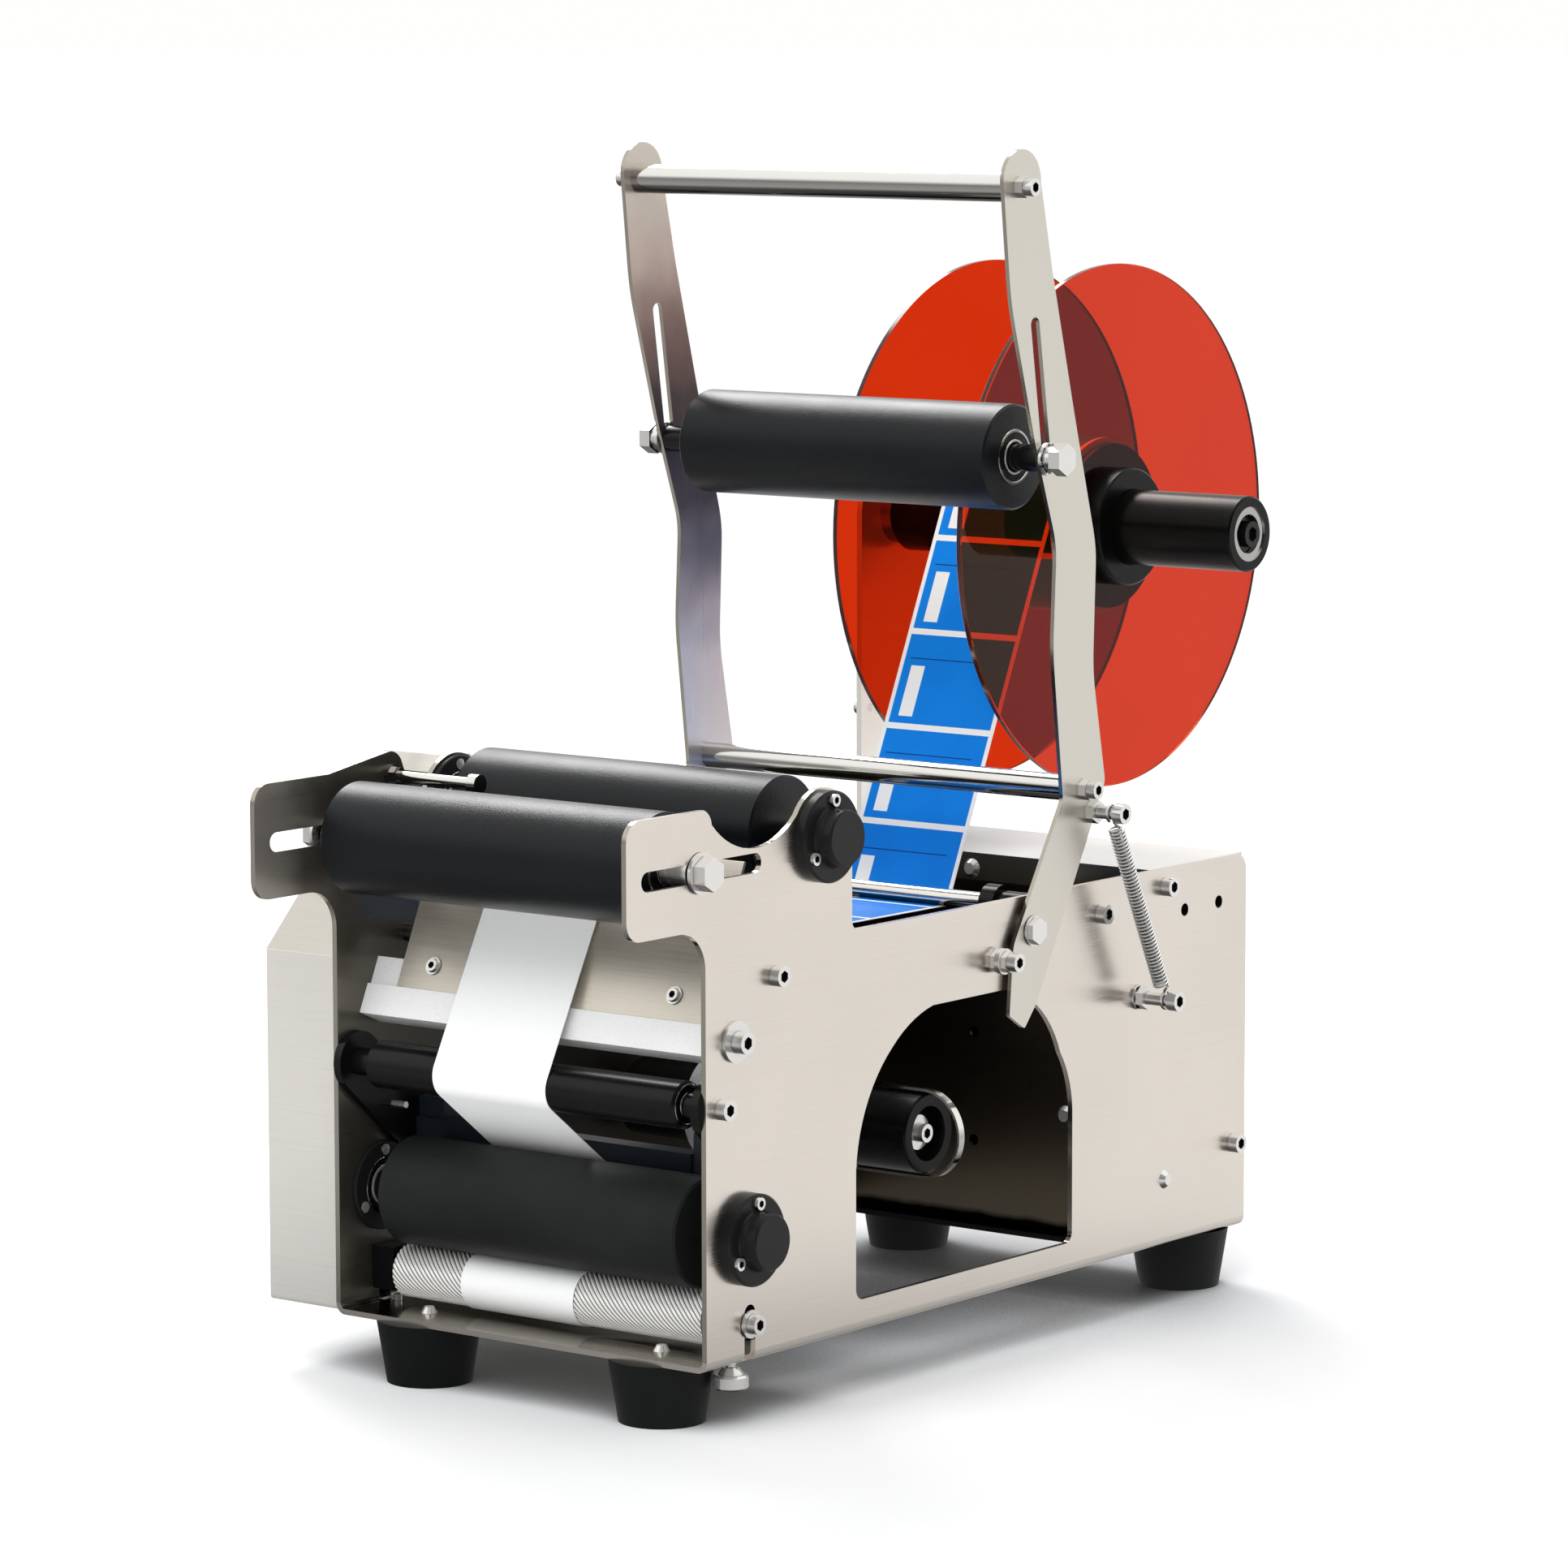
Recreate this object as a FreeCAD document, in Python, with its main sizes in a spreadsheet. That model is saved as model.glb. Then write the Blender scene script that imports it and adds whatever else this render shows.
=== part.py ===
import FreeCAD, Part
import math
import os
import Sketcher

# Semi-automatic labelling machine for round bottles, in millimetres.
# X points to the machine's right, Y to its back and Z up.  The origin lies on
# the surface the feet stand on, in the middle of the four feet.

Vector = FreeCAD.Vector
Rotation = FreeCAD.Rotation

doc = FreeCAD.newDocument("BottleLabeller")
sheet = doc.addObject("Spreadsheet::Sheet", "dims")

SIZES = {
    # folded chassis sheet
    "plate_gauge": 2.5, "half_width": 105.0, "belly_level": 28.0,
    "front_edge": -206.0, "back_edge": 206.0, "deck_level": 207.0,
    "nose_tip": -258.8, "nose_top": 270.3, "nose_belly": 219.3,
    "lobe_radius": 21.2, "bend_radius": 5.0,
    "arch_front": -100.5, "arch_back": 63.8, "arch_sill": 42.5,
    "arch_crown": 166.3, "slot_front": -248.9, "slot_back": -167.5,
    "slot_level": 244.0, "slot_half": 4.3,
    "pinch_slot_width": 7.5, "pinch_slot_top": 53.6,
    # feet
    "foot_height": 28.0, "foot_top_radius": 23.5, "foot_sole_radius": 19.0,
    "foot_front": -188.0, "foot_rear": 188.0,
    "foot_front_side": 66.0, "foot_rear_side": 80.0,
    # rear compartment
    "cover_gauge": 2.0, "wall_front": 130.0, "wall_gauge": 2.0,
    # control box on the left
    "box_gauge": 1.5, "box_left": -148.0, "box_front": -202.0,
    "box_back": -23.0, "ridge_level": 188.0, "peak_level": 270.0,
    "peak_front": -120.0, "peak_back": -110.0,
    # upper rollers
    "front_roller_y": -209.6, "front_roller_z": 243.8,
    "front_roller_radius": 24.7, "front_roller_half": 87.0,
    "rear_roller_y": -124.4, "rear_roller_z": 250.5,
    "rear_roller_radius": 24.8, "rear_roller_half": 84.5,
    "shaft_radius": 5.0, "carriage_shaft_radius": 3.9,
    # lower rollers
    "traction_y": -177.8, "traction_z": 82.4, "traction_radius": 24.3,
    "traction_half": 84.0, "pinch_y": -176.2, "pinch_z": 45.2,
    "pinch_radius": 12.0, "pinch_half": 88.5,
    # guide roller
    "guide_y": -195.5, "guide_z": 141.0, "guide_radius": 10.5,
    "guide_half": 87.0,
    # peel plate and its bar
    "peel_y": -185.0, "peel_z": 174.5, "peel_length": 72.6,
    "peel_half": 86.0, "peel_gauge": 1.5, "peel_angle": 65.7,
    "bar_drop": 14.0, "bar_rise": 13.0, "bar_depth": 12.0,
    # label path
    "web_left": -47.0, "web_right": 17.0, "web_gauge": 0.3,
    "rear_guide_y": 85.5, "rear_guide_z": 192.0, "guide_rod_radius": 4.0,
    "front_guide_y": -157.8, "front_guide_z": 193.8,
    # reel
    "reel_y": 213.0, "reel_z": 357.0, "disc_radius": 125.0,
    "disc_gauge": 3.0, "disc_left_face": -50.6, "hub_right_face": 17.6,
    "reel_tube_radius": 17.9, "reel_tube_end": 101.0,
    "hub_flange_radius": 39.3, "hub_collar_radius": 28.0,
    "hub_flange_gauge": 3.5,
    "label_roll_radius": 42.0, "reel_shaft_radius": 8.0,
    # rewind spool
    "spool_y": -4.6, "spool_z": 99.5, "spool_radius": 18.3,
    "spool_end": 73.8, "waste_radius": 26.0,
    # pressure arms
    "arm_inner": 106.7, "arm_gauge": 2.0, "pivot_y": 27.0,
    "pivot_z": 191.5, "handle_y": 14.7, "handle_z": 525.3,
    "handle_radius": 6.8, "tie_y": 65.4, "tie_z": 251.8,
    "tie_radius": 6.0, "press_y": 36.6, "press_z": 403.6,
    "press_radius": 23.9, "press_left": -83.0, "press_right": 91.0,
    "press_shaft_radius": 6.1, "arm_slot_travel": 61.0,
    # springs
    "spring_plane": 120.3, "upper_stud_y": 72.0, "upper_stud_z": 241.0,
    "lower_stud_y": 116.5, "lower_stud_z": 149.4, "stud_radius": 3.0,
    "spring_radius": 3.9, "spring_bore": 2.6,
}


class Dim:
    """A value of the sheet with the expression that reads it."""

    def __init__(self, value, text):
        self.value = float(value)
        self.text = text

    def __add__(self, other):
        return Dim(self.value + num(other), "(%s + %s)" % (self.text, txt(other)))

    def __radd__(self, other):
        return Dim(num(other) + self.value, "(%s + %s)" % (txt(other), self.text))

    def __sub__(self, other):
        return Dim(self.value - num(other), "(%s - %s)" % (self.text, txt(other)))

    def __rsub__(self, other):
        return Dim(num(other) - self.value, "(%s - %s)" % (txt(other), self.text))

    def __mul__(self, other):
        return Dim(self.value * num(other), "(%s * %s)" % (self.text, txt(other)))

    def __rmul__(self, other):
        return Dim(num(other) * self.value, "(%s * %s)" % (txt(other), self.text))

    def __neg__(self):
        return Dim(-self.value, "(0 - %s)" % self.text)


def num(value):
    return value.value if isinstance(value, Dim) else float(value)


def txt(value):
    if isinstance(value, Dim):
        return value.text
    return "(%.6g)" % value if value < 0 else "%.6g" % value


D = {}
for row, (alias, size) in enumerate(SIZES.items(), start=1):
    sheet.set("A%d" % row, alias)
    sheet.set("B%d" % row, "%.6g" % size)
    sheet.setAlias("B%d" % row, alias)
    D[alias] = Dim(size, "dims." + alias)
doc.recompute()

ALONG_X = Rotation(Vector(0, 1, 0), 90)
ALONG_MINUS_X = Rotation(Vector(0, 1, 0), -90)
ALONG_Y = Rotation(Vector(1, 0, 0), -90)
LEVEL = Rotation()
SLOPE = Rotation(Vector(1, 0, 0), 45)
LEAN = Rotation(Vector(1, 0, 0), num(D["peel_angle"]))

nodes = {}
counter = [0]


# ---------------------------------------------------------------- helpers

def fresh(name):
    counter[0] += 1
    return "%s_%03d" % (name, counter[0])


def bind(thing, prop, value):
    if isinstance(value, Dim):
        thing.setExpression(prop, value.text)


def place(thing, x=0.0, y=0.0, z=0.0, turn=LEVEL):
    thing.Placement = FreeCAD.Placement(Vector(num(x), num(y), num(z)), turn)
    bind(thing, "Placement.Base.x", x)
    bind(thing, "Placement.Base.y", y)
    bind(thing, "Placement.Base.z", z)
    return thing


def cylinder(x, y, z, radius, length, turn=ALONG_X):
    thing = doc.addObject("Part::Cylinder", fresh("cylinder"))
    thing.Radius = num(radius)
    thing.Height = num(length)
    bind(thing, "Radius", radius)
    bind(thing, "Height", length)
    return place(thing, x, y, z, turn)


def cone(x, y, z, radius1, radius2, length, turn=ALONG_X):
    thing = doc.addObject("Part::Cone", fresh("cone"))
    thing.Radius1 = num(radius1)
    thing.Radius2 = num(radius2)
    thing.Height = num(length)
    bind(thing, "Radius1", radius1)
    bind(thing, "Radius2", radius2)
    bind(thing, "Height", length)
    return place(thing, x, y, z, turn)


def block(x, y, z, dx, dy, dz, turn=LEVEL):
    thing = doc.addObject("Part::Box", fresh("block"))
    thing.Length = num(dx)
    thing.Width = num(dy)
    thing.Height = num(dz)
    bind(thing, "Length", dx)
    bind(thing, "Width", dy)
    bind(thing, "Height", dz)
    return place(thing, x, y, z, turn)


def hexagon(x, y, z, across_corners, length, turn=ALONG_X):
    thing = doc.addObject("Part::Prism", fresh("hexagon"))
    thing.Polygon = 6
    thing.Circumradius = num(across_corners) / 2.0
    thing.Height = num(length)
    bind(thing, "Height", length)
    return place(thing, x, y, z, turn)


def cut(base, *tools):
    for tool in tools:
        thing = doc.addObject("Part::Cut", fresh("cut"))
        thing.Base = base
        thing.Tool = tool
        base = thing
    return base


def fuse(*things):
    if len(things) == 1:
        return things[0]
    thing = doc.addObject("Part::MultiFuse", fresh("fuse"))
    thing.Shapes = list(things)
    return thing


def common(first, second):
    thing = doc.addObject("Part::MultiCommon", fresh("common"))
    thing.Shapes = [first, second]
    return thing


def group(*things):
    thing = doc.addObject("Part::Compound", fresh("group"))
    thing.Links = list(things)
    return thing


def node(name, thing):
    thing.Label = name
    nodes[name] = thing
    return thing


def plane_of(body, role):
    for feature in body.Origin.OriginFeatures:
        if feature.Role == role:
            return feature
    raise ValueError("no plane " + role)


def new_sketch(body, role):
    sketch = body.newObject("Sketcher::SketchObject", fresh("sketch"))
    sketch.AttachmentSupport = [(plane_of(body, role), "")]
    sketch.MapMode = "FlatFace"
    return sketch


def draw(sketch, path):
    """path: start point, then ('line', end) or ('arc', middle, end)."""
    here = path[0]
    for step in path[1:]:
        if step[0] == "line":
            there = step[1]
            first = Vector(here[0], here[1], 0)
            last = Vector(there[0], there[1], 0)
            sketch.addGeometry(Part.LineSegment(first, last), False)
        else:
            middle, there = step[1], step[2]
            sketch.addGeometry(
                Part.Arc(Vector(here[0], here[1], 0),
                         Vector(middle[0], middle[1], 0),
                         Vector(there[0], there[1], 0)), False)
        here = there


def pad(path, length, role="YZ_Plane", holes=()):
    """A PartDesign body: a closed outline pushed along its plane's normal."""
    body = doc.addObject("PartDesign::Body", fresh("body"))
    sketch = new_sketch(body, role)
    draw(sketch, path)
    for hole in holes:
        draw(sketch, hole)
    feature = body.newObject("PartDesign::Pad", fresh("pad"))
    feature.Profile = sketch
    feature.Length = num(length)
    bind(feature, "Length", length)
    return body


def turned(profile):
    """A body of revolution about X; profile is a list of (axial, radial)."""
    body = doc.addObject("PartDesign::Body", fresh("body"))
    sketch = new_sketch(body, "XZ_Plane")
    count = len(profile)
    for index in range(count):
        here = profile[index]
        there = profile[(index + 1) % count]
        sketch.addGeometry(
            Part.LineSegment(Vector(num(here[0]), num(here[1]), 0),
                             Vector(num(there[0]), num(there[1]), 0)), False)
    for index, (axial, radial) in enumerate(profile):
        for kind, value in (("DistanceX", axial), ("DistanceY", radial)):
            if isinstance(value, Dim):
                slot = sketch.addConstraint(
                    Sketcher.Constraint(kind, -1, 1, index, 1, value.value))
                sketch.setExpression("Constraints[%d]" % slot, value.text)
    feature = body.newObject("PartDesign::Revolution", fresh("turn"))
    feature.Profile = sketch
    feature.ReferenceAxis = (sketch, ["H_Axis"])
    feature.Angle = 360
    return body


def stadium_path(first, last, radius):
    """A slot with round ends between two centres."""
    ay, az = first
    by, bz = last
    span = math.hypot(by - ay, bz - az)
    uy, uz = (by - ay) / span, (bz - az) / span
    ny, nz = -uz, uy
    return [(ay + ny * radius, az + nz * radius),
            ("arc", (ay - uy * radius, az - uz * radius),
             (ay - ny * radius, az - nz * radius)),
            ("line", (by - ny * radius, bz - nz * radius)),
            ("arc", (by + uy * radius, bz + uz * radius),
             (by + ny * radius, bz + nz * radius)),
            ("line", (ay + ny * radius, az + nz * radius))]


def rounded_path(corners):
    """corners: (y, z, radius); returns a closed path with rounded corners."""
    count = len(corners)
    pieces = []
    for index in range(count):
        y, z, radius = corners[index]
        py, pz = corners[index - 1][:2]
        qy, qz = corners[(index + 1) % count][:2]
        ay, az = py - y, pz - z
        by, bz = qy - y, qz - z
        la, lb = math.hypot(ay, az), math.hypot(by, bz)
        ay, az, by, bz = ay / la, az / la, by / lb, bz / lb
        if radius <= 0:
            pieces.append(((y, z), None, (y, z)))
            continue
        turn = math.acos(max(-1.0, min(1.0, ay * by + az * bz)))
        reach = radius / math.tan(turn / 2.0)
        my, mz = ay + by, az + bz
        lm = math.hypot(my, mz)
        deep = radius / math.sin(turn / 2.0) - radius
        middle = (y + my / lm * deep, z + mz / lm * deep)
        pieces.append(((y + ay * reach, z + az * reach), middle,
                       (y + by * reach, z + bz * reach)))
    path = [pieces[0][2]]
    for start, middle, end in pieces[1:] + pieces[:1]:
        path.append(("line", start))
        if middle is not None:
            path.append(("arc", middle, end))
    return path


def web_path(wheels, start, finish, gauge):
    """Closed outline of a thin strip that runs over round wheels.

    wheels: (y, z, radius to the strip's middle, sense), sense +1 where the
    strip goes round anticlockwise in the (y, z) plane, -1 for clockwise."""
    spots = [(start[0], start[1], 0.0, 1)] + list(wheels)
    spots.append((finish[0], finish[1], 0.0, 1))
    legs = []
    for first, second in zip(spots[:-1], spots[1:]):
        dy, dz = second[0] - first[0], second[1] - first[1]
        span = math.hypot(dy, dz)
        base = math.atan2(dz, dy)
        lift = first[2] * first[3] - second[2] * second[3]
        angle = base + math.asin(max(-1.0, min(1.0, lift / span)))
        ny, nz = math.sin(angle), -math.cos(angle)
        legs.append((angle,
                     (first[0] + ny * first[2] * first[3],
                      first[1] + nz * first[2] * first[3]),
                     (second[0] + ny * second[2] * second[3],
                      second[1] + nz * second[2] * second[3])))

    def side(offset):
        run = []
        for index, (angle, begin, end) in enumerate(legs):
            ny, nz = math.sin(angle) * offset, -math.cos(angle) * offset
            run.append(("line", (begin[0] + ny, begin[1] + nz),
                        (end[0] + ny, end[1] + nz)))
            if index < len(legs) - 1:
                y, z, radius, sense = spots[index + 1]
                ahead = legs[index + 1][0]
                sweep = (ahead - angle) % (2.0 * math.pi)
                if sense < 0:
                    sweep -= 2.0 * math.pi
                mid = angle + sweep / 2.0
                reach = radius * sense + offset
                run.append(("arc",
                            (y + math.sin(mid) * reach,
                             z - math.cos(mid) * reach), None))
        return run

    right = side(gauge / 2.0)
    left = side(-gauge / 2.0)
    path = [right[0][1]]
    for index, piece in enumerate(right):
        if piece[0] == "line":
            path.append(("line", piece[2]))
        else:
            path.append(("arc", piece[1], right[index + 1][1]))
    path.append(("line", left[-1][2]))
    for index in range(len(left) - 1, -1, -1):
        piece = left[index]
        if piece[0] == "line":
            path.append(("line", piece[1]))
        else:
            path.append(("arc", piece[1], left[index - 1][2]))
    path.append(("line", right[0][1]))
    return path


def socket_screw(x, y, z, radius, height, turn=ALONG_X, shank=0.0, shank_radius=2.0):
    """A cap screw whose head stands on x; its shank runs back through the plate."""
    head = cylinder(x, y, z, radius, height, turn)
    way = turn.multVec(Vector(0, 0, 1))
    top = num(height) - 2.2
    socket = hexagon(num(x) + way.x * top, num(y) + way.y * top,
                     num(z) + way.z * top, num(radius) * 1.2, 2.4, turn)
    body = cut(head, socket)
    if shank:
        back = cylinder(num(x) - way.x * shank, num(y) - way.y * shank,
                        num(z) - way.z * shank, shank_radius, shank, turn)
        body = fuse(body, back)
    return body


# ---------------------------------------------------------------- chassis

HW = D["half_width"]
GAUGE = D["plate_gauge"]
FRONT, BACK = num(D["front_edge"]), num(D["back_edge"])
NOSE, NOSE_TOP = num(D["nose_tip"]), num(D["nose_top"])
NOSE_BELLY = num(D["nose_belly"])
BELLY, DECK = num(D["belly_level"]), num(D["deck_level"])
LOBE = (num(D["rear_roller_y"]), num(D["rear_roller_z"]))
LOBE_R = num(D["lobe_radius"])
LOBE_BACK = LOBE[0] + LOBE_R

# bolts through the right side plate:
# (y, z, head radius, head height, washer radius, depth of the shank)
SIDE_BOLTS = [(-157.8, 193.8, 4.5, 5.0, 0.0, 12.0),
              (-185.9, 168.9, 4.8, 5.5, 9.0, 14.0),
              (-195.5, 141.0, 4.5, 5.0, 0.0, 6.4),
              (85.5, 192.0, 4.5, 5.0, 0.0, 12.0),
              (138.5, 198.5, 4.5, 5.0, 0.0, 4.5),
              (196.0, 69.4, 4.5, 5.0, 0.0, 4.5)]
WASHER = 1.6
SHANK = 2.2
STOP = (3.2, 180.5)
BUTTON = (138.8, 60.4)
BRACKET_BOLTS = [(193.0, 128.0), (193.0, 190.0)]
VENT_HOLES = [(154.4, 185.7), (182.8, 186.2)]
FEET = [(-num(D["foot_front_side"]), num(D["foot_front"])),
        (num(D["foot_front_side"]), num(D["foot_front"])),
        (-num(D["foot_rear_side"]), num(D["foot_rear"])),
        (num(D["foot_rear_side"]), num(D["foot_rear"]))]
# the three small screws of each bearing flange, from the shaft's axis
SCREW_CIRCLE = 16.1
SCREW_SHIFTS = [(SCREW_CIRCLE * math.sin(math.radians(turn)),
                 SCREW_CIRCLE * math.cos(math.radians(turn)))
                for turn in (0, 120, 240)]


def side_outline(ear):
    top = LOBE[1]
    path = [(FRONT, BELLY - 1.0),
            ("line", (FRONT, NOSE_BELLY - 17.5)),
            ("arc", (FRONT - 17.5 + 17.5 * math.cos(math.pi / 4),
                     NOSE_BELLY - 17.5 + 17.5 * math.sin(math.pi / 4)),
             (FRONT - 17.5, NOSE_BELLY)),
            ("line", (NOSE + 9.0, NOSE_BELLY)),
            ("arc", (NOSE + 9.0 - 6.364, NOSE_BELLY + 9.0 - 6.364),
             (NOSE, NOSE_BELLY + 9.0)),
            ("line", (NOSE, NOSE_TOP - 9.0)),
            ("arc", (NOSE + 9.0 - 6.364, NOSE_TOP - 9.0 + 6.364),
             (NOSE + 9.0, NOSE_TOP))]
    if ear:
        path += [("line", (-210.5, NOSE_TOP)),
                 ("line", (-170.5, 276.4)),
                 ("arc", (-164.4, 275.1), (-160.8, 270.2)),
                 ("line", (-156.2, 259.6)),
                 ("arc", (-150.6, 255.6), (-143.2, 260.3))]
    else:
        path += [("line", (-207.0, NOSE_TOP)),
                 ("arc", (-203.4, 268.0), (-201.4, 263.5)),
                 ("arc", (-171.2, 250.4), (-142.4, 261.6))]
    start = math.atan2(path[-1][-1][1] - LOBE[1], path[-1][-1][0] - LOBE[0])
    middle = start / 2.0
    path += [("arc", (LOBE[0] + LOBE_R * math.cos(middle),
                      LOBE[1] + LOBE_R * math.sin(middle)), (LOBE_BACK, top)),
             ("line", (LOBE_BACK, DECK + 4.0)),
             ("arc", (LOBE_BACK + 4.0 - 2.828, DECK + 4.0 - 2.828),
              (LOBE_BACK + 4.0, DECK)),
             ("line", (BACK - 8.0, DECK)),
             ("arc", (BACK - 8.0 + 5.657, DECK - 8.0 + 5.657),
              (BACK, DECK - 8.0)),
             ("line", (BACK, BELLY - 1.0)),
             ("line", (FRONT, BELLY - 1.0))]
    return path


def arch_path():
    sill, crown = num(D["arch_sill"]), num(D["arch_crown"])
    left, right = num(D["arch_front"]), num(D["arch_back"])
    return [(left + 5.0, sill),
            ("arc", (left + 5.0 - 3.536, sill + 5.0 - 3.536), (left, sill + 5.0)),
            ("line", (left, 100.0)),
            ("arc", (-91.6, 130.5), (-73.7, 151.6)),
            ("arc", (-60.6, 160.4), (-43.6, crown)),
            ("line", (9.0, crown)),
            ("arc", (34.8, 156.6), (54.0, 132.0)),
            ("arc", (61.6, 117.0), (right, 100.0)),
            ("line", (right, sill + 5.0)),
            ("arc", (right - 5.0 + 3.536, sill + 5.0 - 3.536),
             (right - 5.0, sill)),
            ("line", (left + 5.0, sill))]


def make_chassis():
    half, gauge = num(HW), num(GAUGE)
    bend = num(D["bend_radius"])
    inner = bend - gauge
    k = math.sqrt(0.5)
    profile = [(-half, 290.0),
               ("line", (-half, BELLY + bend)),
               ("arc", (-half + bend - bend * k, BELLY + bend - bend * k),
                (-half + bend, BELLY)),
               ("line", (half - bend, BELLY)),
               ("arc", (half - bend + bend * k, BELLY + bend - bend * k),
                (half, BELLY + bend)),
               ("line", (half, 290.0)),
               ("line", (half - gauge, 290.0)),
               ("line", (half - gauge, BELLY + bend)),
               ("arc", (half - bend + inner * k, BELLY + bend - inner * k),
                (half - bend, BELLY + gauge)),
               ("line", (-half + bend, BELLY + gauge)),
               ("arc", (-half + bend - inner * k, BELLY + bend - inner * k),
                (-half + gauge, BELLY + bend)),
               ("line", (-half + gauge, 290.0)),
               ("line", (-half, 290.0))]
    channel = pad(profile, BACK - NOSE + 2.0, "XZ_Plane")
    place(channel, 0, BACK + 1.0, 0)
    slot_half, slot_level = num(D["slot_half"]), num(D["slot_level"])
    slot = stadium_path((num(D["slot_front"]) + slot_half, slot_level),
                        (num(D["slot_back"]) - slot_half, slot_level), slot_half)
    right = pad(side_outline(False), 120.0, "YZ_Plane",
                [slot, arch_path()])
    left = pad(side_outline(True), 120.0, "YZ_Plane", [slot])
    place(left, -120.0, 0, 0)
    shell = common(channel, fuse(left, right))
    tools = [block(-90.0, num(D["arch_front"]), 20.0, 180.0, 220.5, 15.0)]
    width = D["pinch_slot_width"]
    for side in (-1, 1):
        x = 100.0 if side > 0 else -110.0
        tools.append(block(x, D["pinch_y"] - width * 0.5, 20.0, 10.0, width,
                           D["pinch_slot_top"] - 20.0 - width * 0.5))
        tools.append(cylinder(x, D["pinch_y"], D["pinch_slot_top"] - width * 0.5,
                              width * 0.5, 10.0))
        tools.append(cylinder(side * 94.5, D["pinch_y"], 20.0, 2.6, 15.0, LEVEL))
    # shaft holes through both plates
    for y, z, radius in ((D["rear_roller_y"], D["rear_roller_z"], 8.0),
                         (D["traction_y"], D["traction_z"], 8.0)):
        tools.append(cylinder(-110.0, y, z, radius, 220.0))
    tools.append(cylinder(-110.0, D["spool_y"], D["spool_z"], 5.6, 20.0))
    for y, z in ((D["pivot_y"], D["pivot_z"]), STOP,
                 (D["lower_stud_y"], D["lower_stud_z"])):
        tools.append(cylinder(-110.0, y, z, 3.0, 220.0))
    for bolt in SIDE_BOLTS:
        tools.append(cylinder(100.0, bolt[0], bolt[1], SHANK, 10.0))
    tools.append(cylinder(100.0, BUTTON[0], BUTTON[1], SHANK, 10.0))
    for y, z in VENT_HOLES:
        tools.append(cylinder(100.0, y, z, 3.0, 10.0))
    for y, z in BRACKET_BOLTS:
        tools.append(cylinder(-110.0, y, z, SHANK, 10.0))
    for x, y in FEET:
        tools.append(cylinder(x, y, 20.0, SHANK, 15.0, LEVEL))
    for shift in SCREW_SHIFTS:
        for y, z in ((D["rear_roller_y"], D["rear_roller_z"]),
                     (D["traction_y"], D["traction_z"])):
            tools.append(cylinder(-110.0, y + shift[0], z + shift[1], 1.3, 220.0))
    node("chassis_frame", cut(shell, fuse(*tools)))


def make_feet():
    feet = []
    for x, y in FEET:
        stem = cone(x, y, 0.0, D["foot_sole_radius"], D["foot_top_radius"],
                    D["foot_height"], LEVEL)
        feet.append(cut(stem, cylinder(x, y, 12.0, SHANK, 20.0, LEVEL),
                        cylinder(x, y, -1.0, 9.0, 9.0, LEVEL)))
    node("feet_front", group(*feet[:2]))
    node("feet_rear", group(*feet[2:]))


# ---------------------------------------------------------------- rear cover

SWITCH_Z = 87.7
COVER_LIP = 13.0                          # folded down in front of the wall
COVER_LIP_GAUGE = 1.2


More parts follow.
